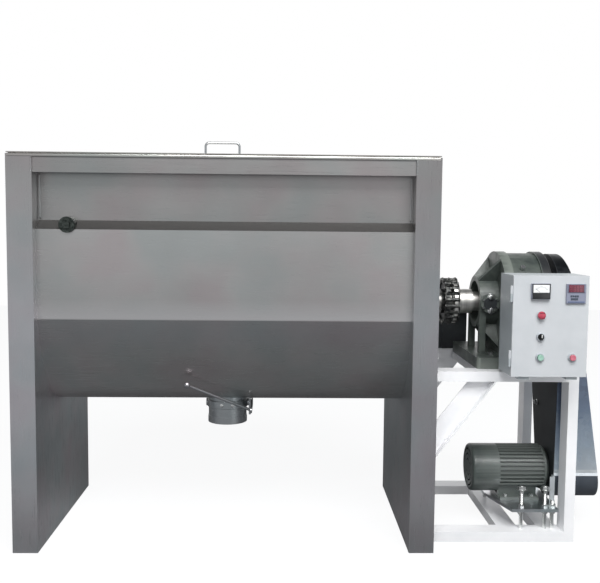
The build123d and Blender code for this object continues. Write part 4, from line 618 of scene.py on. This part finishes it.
def moulded(name, colour, shade, roughness, clear=0.0):
    """Moulded plastic: even colour, satin or glossy, with a trace of texture."""
    made, tree, place = material(name)
    grain = uneven(tree, place, PLASTIC_GRAIN, 2.0)
    rough = (grain, roughness - 0.04, roughness + 0.05)
    surface(made, (grain, (0.3, shade), (0.6, colour)), rough, (grain, 0.02, 0.4), Coat_Weight=clear)
    return made


def rubber(name, colour, shade):
    """Moulded rubber: matt, slightly dusty."""
    made, tree, place = material(name)
    dust = uneven(tree, place, RUBBER_DUST, 5.0)
    surface(made, (dust, (0.35, shade), (0.65, colour)), (dust, 0.62, 0.8), (dust, 0.1, 0.4))
    return made


def finish_nodes():
    """Gives every CAD node its material; returns those that the scene's own pieces share."""
    # The two end frames are one steel: the left copy is painted lighter and the right copy darker, as
    # painted light and painted shade.
    left_frame = frame_sheet("pickled_stainless_left_frame", "#E3E3E6", "#F7F7FA")
    right_frame = frame_sheet("pickled_stainless_right_frame", "#CACACD", "#DADADD")
    wall = steel_sheet("pickled_stainless_wall", "#AEACAC", "#BEBCBC", LENGTHWISE)
    lid = steel_sheet("pickled_stainless_lid", "#BEBDBB", "#CCCAC6", LENGTHWISE)
    ground = steel_sheet("ground_stainless", "#A6A9AC", "#C2C5C8", (1, 1, 20))
    satin = steel_sheet("satin_stainless_tube", "#B4B7BA", "#CDD0D3", (20, 20, 1))
    bright = machined_steel("turned_steel", "#CCCAC6", "#ECEAE5", 0.42)
    casting = painted_casting("green_grey_enamel_on_iron", "#353C3A", "#545B56", "#727872")
    dark_casting = painted_casting("black_enamel_on_iron", "#1F2224", "#33373A", "#5A5E60")
    motor = painted_casting("grey_enamel_on_motor", "#363D3B", "#4D5552", "#6C726F", 0.36)
    zinc = machined_steel("zinc_plated_steel", "#C4C6C6", "#EFF0EE", 0.26)
    tube = tube_steel()
    box_paint = powder_coat("pale_grey_powder_coat", "#C7CACD", "#BFC3C6")
    black_sheet = powder_coat("black_enamelled_sheet", "#2A2E31", "#1D2023", 0.5)
    finishes = {
        left_frame: ("left_end_frame",),
        right_frame: ("right_end_frame",),
        wall: ("trough_shell", "top_rails"),
        jacket_sheet(): ("jacket_shell",),
        lid: ("lid_plate", "lid_stiffeners", "lid_hinge_brackets", "lid_hinge_straps"),
        ground: (
            "lid_handle",
            "lid_hinge_pins",
            "outer_ribbons",
            "inner_ribbons",
            "ribbon_spokes",
        ),
        satin: ("outlet_spout", "outlet_collar", "outlet_flap", "outlet_lever"),
        oily_steel("grimy_threaded_steel", "#2C312F", "#5A605C"): ("jacket_socket", "socket_plug"),
        bright: (
            "main_shaft",
            "output_shaft",
            "input_shaft",
            "motor_rotor",
            "drive_sprocket",
            "shaft_glands",
        ),
        oily_steel("oiled_chain_steel", "#1A1C1F", "#6A6B68"): ("coupling_chain", "shaft_sprocket"),
        casting: ("reducer_frame",),
        drum_casting(): ("reducer_drum",),
        dark_casting: (
            "reducer_bearing_cap",
            "reducer_side_cover",
            "reducer_input_cover",
            "large_pulley",
            "end_bearings",
        ),
        motor: ("motor_housing", "motor_end_shield", "motor_fan_cover", "motor_terminal_box"),
        zinc: ("reducer_bolts", "reducer_plug", "motor_adjusters"),
        galvanised(): ("guard_cover", "guard_brackets"),
        black_sheet: ("guard_back_plate", "coupling_guard", "coupling_guard_bar"),
        tube: ("frame_rails", "frame_posts", "frame_braces"),
        steel_sheet("ground_motor_plate", "#D2D9DF", "#EEF3F7", (30, 1, 1)): ("motor_plate",),
        foot_coat(): ("guard_foot",),
        box_paint: ("control_door",),
        powder_coat("grey_powder_coat_case", "#AEB5B8", "#A4ABAF"): ("control_case",),
        moulded("grey_instrument_plastic", "#8C90A2", "#7E8294", 0.4): ("panel_instruments",),
        moulded("black_knob_plastic", "#202224", "#151618", 0.35): ("selector_switch",),
        moulded("green_button_plastic", "#2E8F63", "#25805A", 0.3, 0.4): ("start_button",),
        moulded("red_button_plastic", "#C23A42", "#A82E36", 0.3, 0.4): ("stop_button",),
        rubber("pale_seal_rubber", "#D9D8D2", "#BDBBB4"): ("lid_seal",),
        rubber("belt_rubber", "#1C1D1F", "#101112"): ("v_belts",),
    }
    for finish, names in finishes.items():
        for name in names:
            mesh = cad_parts[name].data
            mesh.materials.clear()
            mesh.materials.append(finish)
    return satin, zinc, motor


# Pieces


def ammeter_face():
    """White scale card with its arc, marks and needle above a black cover, in a thin black frame."""
    card = moulded("white_enamelled_card", "#F4F5F5", "#E9EAEB", 0.4)
    ink = moulded("black_instrument_plastic", "#26282B", "#1A1B1E", 0.32, 0.2)
    shape = bmesh.new()
    rim = (METER_RIM_FRONT, METER_BODY)
    plate(shape, METER, (-30, 30), (-6, 25), (CARD_FRONT, METER_BODY), 0.3, 0)
    plate(shape, METER, (-33, 33), (-27.5, -4), (METER_COVER_FRONT, METER_BODY), 1.2, 1)
    plate(shape, METER, (-33.5, -30), (-5, 27.5), rim, 0.6, 1)
    plate(shape, METER, (30, 33.5), (-5, 27.5), rim, 0.6, 1)
    plate(shape, METER, (-33.5, 33.5), (25, 28), rim, 0.6, 1)
    pivot = (METER[0], METER[1] - 9)
    for step in range(MARKS):
        turn = radians(SCALE_START + MARK_STEP * step)
        inner, outer = LONG_MARK if step % 5 == 0 else SHORT_MARK
        start, end = around(pivot, inner, turn), around(pivot, outer, turn)
        stroke(shape, start, end, MARK_WIDTH, INK_FRONT, INK_THICK, 1)
    for step in range(MARK_STEP * (MARKS - 1) // ARC_STEP):
        turn = SCALE_START + ARC_STEP * step
        start = around(pivot, ARC_RADIUS, radians(turn))
        end = around(pivot, ARC_RADIUS, radians(turn + ARC_STEP))
        stroke(shape, start, end, ARC_WIDTH, INK_FRONT, INK_THICK, 1)
    tip = around(pivot, NEEDLE_LENGTH, radians(NEEDLE_ANGLE))
    stroke(shape, pivot, tip, NEEDLE_WIDTH, NEEDLE_FRONT, NEEDLE_THICK, 1)
    piece("ammeter_face", shape, "door", "instrument_plastic", card, ink)


def controller_face():
    """Two-row display behind dark red plastic, four keys and a bar under it, and a bluish strip."""
    window = moulded("dark_red_display_plastic", "#6A3040", "#582636", 0.25, 0.3)
    lit = moulded("red_display_segment", "#A5505E", "#984452", 0.3)
    key = moulded("dark_rubber_key", "#4A525F", "#3F4753", 0.5)
    strip = moulded("blue_grey_plastic", "#68728E", "#5C6680", 0.4)
    rim = moulded("dark_instrument_bezel", "#6E7284", "#5F6374", 0.4)
    shape = bmesh.new()
    plate(shape, CONTROLLER, (-33, 31), (3, 35.6), (CONTROLLER_FRONT, CONTROLLER_BODY), 0.8, 4)
    plate(shape, CONTROLLER, (-29, 27), (5.5, 33), (-70.8, -69), 0.4, 0)
    for rise in DIGIT_ROWS:
        row = CONTROLLER[1] + rise
        top, low = row + DIGIT_HEIGHT / 2, row - DIGIT_HEIGHT / 2
        for place in range(DIGIT_PLACES):
            left = CONTROLLER[0] - 23 + DIGIT_PITCH * place
            right = left + DIGIT_WIDTH
            lower = ((left, low), (right, low), (right, row))
            upper = ((right, top), (left, top), (left, row), (left, low))
            corners = lower + upper
            for start, end in zip(corners, corners[1:]):
                stroke(shape, start, end, SEGMENT_WIDTH, DIGIT_FRONT, SEGMENT_THICK, 1)
    for place in range(KEYS):
        left = -22 + KEY_PITCH * place
        plate(shape, CONTROLLER, (left, left + KEY_WIDTH), (-12, -5), (-71, CONTROLLER_BODY), 0.8, 2)
    plate(shape, CONTROLLER, (-20, 6), (-23, -15), (-70.6, CONTROLLER_BODY), 0.6, 2)
    plate(shape, CONTROLLER, (-31, 30), (-33, -27), (CONTROLLER_FRONT, CONTROLLER_BODY), 0.5, 3)
    piece("controller_face", shape, "door", "instrument_plastic", window, lit, key, strip, rim)


def bezel_rings():
    """Grey ring round each of the four switches."""
    finish = moulded("grey_bezel_plastic", "#B4BABF", "#A6ACB2", 0.3, 0.2)
    bore = [(5, BEZEL_BORE), (7.2, BEZEL_BORE)]
    flange = [(7.8, 12.4), (7.4, 14.2), (5.4, 15.6), (0.2, 16.4), (0.2, 15), (5, BEZEL_BORE)]
    for name, (x, z) in (("lamp", LAMP), ("selector", SELECTOR), ("start", START), ("stop", STOP)):
        shape = bmesh.new()
        turned(shape, (x, DOOR_FRONT, z), FRONT, bore + flange)
        piece(name + "_bezel_ring", shape, "door", "instrument_plastic", finish)


def lamp_lens():
    """Domed red lens of the signal lamp with two darker ribs."""
    lens = moulded("red_lens_plastic", "#C24A5C", "#A93A4C", 0.16, 0.8)
    ribs = moulded("dark_red_lens_ribs", "#8C3040", "#7C2635", 0.25, 0.5)
    x, z = LAMP
    shape = bmesh.new()
    wall = [(6.5, 0), (6.5, LENS_RADIUS), (10, LENS_RADIUS)]
    dome = [(13.5, 13.4), (16.2, 9.2), (17.6, 4.2), (18, 0)]
    turned(shape, (x, DOOR_FRONT, z), FRONT, wall + dome)
    half = LENS_RADIUS * sin(radians(55)) - LENS_RIB
    for level in (z - LENS_RIB_OFFSET, z + LENS_RIB_OFFSET):
        stroke(shape, (x - half, level), (x + half, level), LENS_RIB, LENS_RIB_FRONT, 5, 1)
    piece("signal_lamp_lens", shape, "door", "red_plastic", lens, ribs)


def selector_pointer():
    """White line on the selector's knob."""
    x, z = SELECTOR
    shape = bmesh.new()
    stroke(shape, (x, z - 1), (x, z + 9.5), POINTER_WIDTH, POINTER_FRONT, 1.2)
    finish = moulded("white_pointer_paint", "#F2F2F0", "#E4E4E2", 0.4)
    piece("selector_pointer", shape, "selector", "instrument_plastic", finish)


def button_caps():
    """Dished caps of the green and the red push button."""
    caps = (
        ("start", START, "green", ("#9CC4B2", "#90B8A6")),
        ("stop", STOP, "red", ("#CB6F7F", "#BD6171")),
    )
    rim = [(-2, 0), (-2, 11.15), (0.2, 11.15), (1.0, 10.4), (1.2, 9.4)]
    dish = [(0.7, 7.0), (0.45, 3.5), (0.4, 0)]
    for name, (x, z), tint, (colour, shade) in caps:
        shape = bmesh.new()
        turned(shape, (x, CAP_FRONT, z), FRONT, rim + dish)
        finish = moulded(tint + "_cap_plastic", colour, shade, 0.32, 0.3)
        piece(name + "_button_cap", shape, name, tint + "_plastic", finish)


def rolled_edges():
    """Rolled edge along the top of the front and of the back, its steel painted lighter as a painted
    highlight.
    """
    # Painted highlight: the edge's steel is lighter than the rail's, standing in for the light that
    # the rounded edge catches.
    polished = steel_sheet("stainless_edge_painted_highlight", "#C6C6C2", "#DCDCD8", LENGTHWISE)
    shape = bmesh.new()
    half = BODY_END - EDGE_INSET
    for front in (-EDGE_PROUD, BODY_DEPTH + EDGE_PROUD - EDGE_THICK):
        low = (-half, front, BODY_TOP - EDGE_DROP)
        high = (half, front + EDGE_THICK, BODY_TOP + EDGE_RISE)
        block(shape, low, high, EDGE_ROUNDING)
    piece("rolled_top_edge", shape, "machine", "stainless_steel", polished)


def corner_beads():
    """Weld beads where each end frame meets the top rail and the trough, and a short one under
    the rail."""
    seam = steel_sheet("stainless_weld_bead", "#A2A3A4", "#C4C5C6", (1, 1, 4))
    shape = bmesh.new()
    for side in (-1, 1):
        x, y = side * (WEB_X + 3), 3.5
        bead(shape, (x, y, RAIL_BOTTOM), (x, y, BODY_TOP - 10), CORNER_BEAD)
        x, y = side * (WEB_X - 6), TROUGH_FACE - 2
        bead(shape, (x, y, RAIL_BOTTOM - 3), (x, y, JACKET_TOP + 3), RAIL_BEAD)
        y, z = RAIL_BACK, RAIL_BOTTOM - 2
        bead(shape, (side * (WEB_X - 3), y, z), (side * (WEB_X - 60), y, z), RAIL_BEAD)
    piece("corner_weld_beads", shape, "machine", "stainless_steel", seam)


def lid_fittings(zinc):
    """Weld feet of the handle and hexagon heads on the hinge straps."""
    seam = steel_sheet("stainless_foot_weld", "#A2A3A4", "#C4C5C6", (1, 1, 4))
    fillet = [(0.1, 0), (0.1, 8.6), (1.6, 7.4), (4.4, 4.9), (4.4, 0)]
    shape = bmesh.new()
    for x in HANDLE_XS:
        turned(shape, (x, HANDLE_Y, LID_TOP), UP, fillet, steps=24)
    piece("handle_weld_feet", shape, "lid", "stainless_steel", seam)
    shape = bmesh.new()
    for x in HINGE_XS:
        for y in STRAP_BOLT_YS:
            hexagon_head(shape, (x, y, STRAP_TOP), UP, *STRAP_BOLT)
    piece("hinge_strap_bolts", shape, "lid", "zinc_bolts", zinc)


def chain_fittings():
    """Riveted pin heads on both faces of the coupling chain."""
    worn = machined_steel("rubbed_pin_steel", "#6E6F6C", "#B9B8B2", 0.3)
    rivet = [(0, 0), (0, 4.6), (1.5, 4.6), (2.6, 3.2), (3.0, 0)]
    shape = bmesh.new()
    for index in range(CHAIN_PINS):
        turn = 2 * pi * (index + 0.5) / CHAIN_PINS
        y, z = around((MID_Y, SHAFT_HEIGHT), CHAIN_RADIUS, turn)
        turned(shape, (COUPLING_X - LINK_FACE, y, z), LEFT, rivet, steps=10)
        turned(shape, (COUPLING_X + LINK_FACE, y, z), RIGHT, rivet, steps=10)
    piece("chain_pin_heads", shape, "agitator", "oiled_chain", worn)


def outlet_fittings(zinc, steel):
    """Weld beads round the spout above and below its collar, and two bolts on the collar's front."""
    root, flank = SPOUT_EDGE - 1, SPOUT_BEAD * 0.7
    ring = [
        (-SPOUT_BEAD, root),
        (-flank, SPOUT_EDGE + flank),
        (0, SPOUT_EDGE + SPOUT_BEAD),
        (flank, SPOUT_EDGE + flank),
        (SPOUT_BEAD, root),
        (-SPOUT_BEAD, root),
    ]
    shape = bmesh.new()
    for z in SPOUT_BEAD_ZS:
        turned(shape, (OUTLET_X, MID_Y, z), UP, ring, steps=64)
    piece("spout_weld_beads", shape, "machine", "stainless_steel", steel)
    shape = bmesh.new()
    for x in COLLAR_BOLT_XS:
        y = MID_Y - (COLLAR_EDGE ** 2 - (x - OUTLET_X) ** 2) ** 0.5
        hexagon_head(shape, (x, y, COLLAR_BOLT_Z), FRONT, *COLLAR_BOLT)
    piece("collar_bolts", shape, "machine", "zinc_bolts", zinc)


def thread(shape, x, rise):
    """Thread of an adjuster rod, from the top of its lower nut to its end."""
    turns = int((rise - 12.5) / THREAD_PITCH)
    end = turns * THREAD_PITCH
    profile = [(0, 0)]
    for step in range(turns):
        start = step * THREAD_PITCH
        profile += [(start, THREAD_ROOT), (start + THREAD_PITCH / 2, THREAD_CREST)]
    profile += [(end, 8.0), (end + 1.5, 6.6), (end + 1.5, 0)]
    turned(shape, (x, ADJUSTER_Y, PLATE_TOP + THREAD_START), UP, profile, steps=20)


def adjuster_threads(zinc):
    """Threads of the three adjuster rods, with the loose nuts on the two long ones."""
    shape = bmesh.new()
    for x in LONG_ADJUSTER_XS:
        thread(shape, x, LONG_RISE)
    thread(shape, SHORT_ADJUSTER_X, SHORT_RISE)
    for x in LONG_ADJUSTER_XS:
        hexagon_head(shape, (x, ADJUSTER_Y, PLATE_TOP + LOOSE_NUT_RISE), UP, *LOOSE_NUT)
    piece("adjuster_threads", shape, "machine", "zinc_bolts", zinc)


def drive_fittings(zinc):
    """Bolts of the reducer's side cover, and the latch knob on the guard's back plate."""
    shape = bmesh.new()
    for x, z in SIDE_COVER_BOLTS:
        hexagon_head(shape, (x, SIDE_COVER_Y, z), FRONT, *SIDE_COVER_BOLT)
    piece("side_cover_bolts", shape, "machine", "zinc_bolts", zinc)
    knob = [(0, 0), (0, 11), (2, 12), (4, 12), (6, 9), (15, 9), (17, 7), (17, 0)]
    shape = bmesh.new()
    turned(shape, LATCH_KNOB, LEFT, knob, steps=24)
    piece("guard_latch_knob", shape, "machine", "zinc_bolts", zinc)


def terminal_box(enamel):
    """Low terminal box behind the motor: casting, lid with four screws, and a cable gland."""
    screw = [(-1, 0), (-1, 4), (2, 4), (3.2, 2.6), (3.2, 0)]
    gland = [(-2, 0), (-2, 13), (8, 13), (9, 11), (18, 11), (20, 8), (20, 0)]
    shape = bmesh.new()
    block(shape, *BOX_CAST, 5)
    block(shape, *BOX_LID, 3)
    (left, _, low), (right, back, high) = BOX_LID
    for x in (left + BOX_SCREW_INSET, right - BOX_SCREW_INSET):
        for z in (low + BOX_SCREW_INSET, high - BOX_SCREW_INSET):
            turned(shape, (x, back, z), BACK, screw, steps=16)
    turned(shape, GLAND_PLACE, DOWN, gland, steps=24)
    box = piece("terminal_box_casting", shape, "machine", "motor_casting", enamel)
    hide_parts("motor_terminal_box")


# Studio


def make_camera():
    """Camera at the photograph's place and angle."""
    data = bpy.data.cameras.new("camera")
    data.lens = CAMERA_LENS
    data.sensor_width = CAMERA_SENSOR
    camera = bpy.data.objects.new("camera", data)
    bpy.context.scene.collection.objects.link(camera)
    ahead = cos(CAMERA_DOWN)
    forward = Vector((sin(CAMERA_YAW) * ahead, cos(CAMERA_YAW) * ahead, -sin(CAMERA_DOWN)))
    level = Vector((cos(CAMERA_YAW), -sin(CAMERA_YAW), 0))
    steep = level.cross(forward)
    right = cos(CAMERA_ROLL) * level + sin(CAMERA_ROLL) * steep
    up = -sin(CAMERA_ROLL) * level + cos(CAMERA_ROLL) * steep
    axes = Matrix((right, up, -forward)).transposed()
    camera.matrix_world = Matrix.Translation(CAMERA_PLACE) @ axes.to_4x4()
    bpy.context.scene.camera = camera


def mirrored_ray(tree):
    """1 for what a shiny or clear surface shows, otherwise 0."""
    glossy = add(tree, "LightPath", "Is Glossy Ray")
    clear = add(tree, "LightPath", "Is Transmission Ray")
    return add(tree, "Math", "Value", {0: glossy, 1: clear}, operation="MAXIMUM")


def floor_finish():
    """Matt grey that keeps the machine's shadow. It glows: almost white to the camera, weakly on
    what stands near it, and hardly in the steel's reflections."""
    made = bpy.data.materials.new("pale_floor")
    made.use_nodes = True
    tree = made.node_tree
    tree.nodes.remove(tree.nodes["Principled BSDF"])
    strength = 0.0
    for ray, glow in (
        (mirrored_ray(tree), MIRRORED_GLOW),
        (add(tree, "LightPath", "Is Diffuse Ray"), BOUNCED_GLOW),
        (add(tree, "LightPath", "Is Camera Ray"), FLOOR_GLOW),
    ):
        share = add(tree, "Math", "Value", {0: ray, 1: glow}, operation="MULTIPLY")
        strength = add(tree, "Math", "Value", {0: strength, 1: share}, operation="MAXIMUM")
    matt = add(tree, "BsdfDiffuse", "BSDF", {"Color": linear("#5E6062")})
    glow = add(tree, "Emission", "Emission", {"Color": linear("#FFFFFF"), "Strength": strength})
    both = add(tree, "AddShader", "Shader", {0: matt, 1: glow})
    feed(tree, tree.nodes["Material Output"].inputs["Surface"], both)
    return made


def make_floor():
    """Level floor from a little in front of the machine to far behind it."""
    grid = bmesh.new()
    bmesh.ops.create_grid(grid, x_segments=1, y_segments=1, size=1)
    mesh = bpy.data.meshes.new("floor")
    grid.to_mesh(mesh)
    grid.free()
    for vertex in mesh.vertices:
        x = vertex.co.x * FLOOR_HALF
        y = FLOOR_BACK if vertex.co.y > 0 else FLOOR_FRONT
        vertex.co = (x, y, 0)
    floor = bpy.data.objects.new("floor", mesh)
    bpy.context.scene.collection.objects.link(floor)
    mesh.materials.append(floor_finish())


def make_world():
    """White to the camera. For light and reflections: white behind the machine, grey in front,
    darker near the floor, and dark overhead."""
    world = bpy.data.worlds.new("studio")
    bpy.context.scene.world = world
    world.use_nodes = True
    tree = world.node_tree
    room = linear("#707276")
    for where, colour in (
        (mask(tree, "Generated", "Z", -0.35, 0.0), "#B8BABC"),
        (mask(tree, "Generated", "Y", -0.25, 0.15), "#FFFFFF"),
        (mask(tree, "Generated", "Z", 0.45, 0.75), "#4C4E52"),
    ):
        sockets = {"Factor": where, "A": room, "B": linear(colour)}
        room = add(tree, "Mix", "Result", sockets, data_type="RGBA")
    light = add(tree, "Background", "Background", {"Color": room, "Strength": ROOM_GLOW})
    mirror = add(tree, "Background", "Background", {"Color": room, "Strength": 1.0})
    white = {"Color": linear("#FFFFFF"), "Strength": 1.0}
    backdrop = add(tree, "Background", "Background", white)
    indirect = add(tree, "MixShader", "Shader", {"Fac": mirrored_ray(tree), 1: light, 2: mirror})
    seen = add(tree, "LightPath", "Is Camera Ray")
    whole = add(tree, "MixShader", "Shader", {"Fac": seen, 1: indirect, 2: backdrop})
    feed(tree, tree.nodes["World Output"].inputs["Surface"], whole)


def make_light(name, place, size, power, aim):
    """Rectangular soft light at a place, turned to its aim."""
    data = bpy.data.lights.new(name, "AREA")
    data.shape = "RECTANGLE"
    data.size, data.size_y = size
    data.energy = power
    light = bpy.data.objects.new(name, data)
    bpy.context.scene.collection.objects.link(light)
    light.location = place
    light.rotation_euler = (Vector(aim) - Vector(place)).to_track_quat("-Z", "Y").to_euler()


def make_lights():
    """Large softbox in front above the camera, and a weak one low on the right for the drive."""
    make_light("softbox", SOFTBOX_PLACE, SOFTBOX_SIZE, SOFTBOX_POWER, SOFTBOX_AIM)
    make_light("fill", FILL_PLACE, FILL_SIZE, FILL_POWER, FILL_AIM)


def set_view():
    """Plain view transform."""
    bpy.context.scene.view_settings.view_transform = "Standard"


satin_steel, zinc_steel, motor_enamel = finish_nodes()
ammeter_face()
controller_face()
bezel_rings()
lamp_lens()
selector_pointer()
button_caps()
rolled_edges()
corner_beads()
lid_fittings(zinc_steel)
chain_fittings()
outlet_fittings(zinc_steel, satin_steel)
adjuster_threads(zinc_steel)
drive_fittings(zinc_steel)
terminal_box(motor_enamel)
make_camera()
make_floor()
make_world()
make_lights()
set_view()
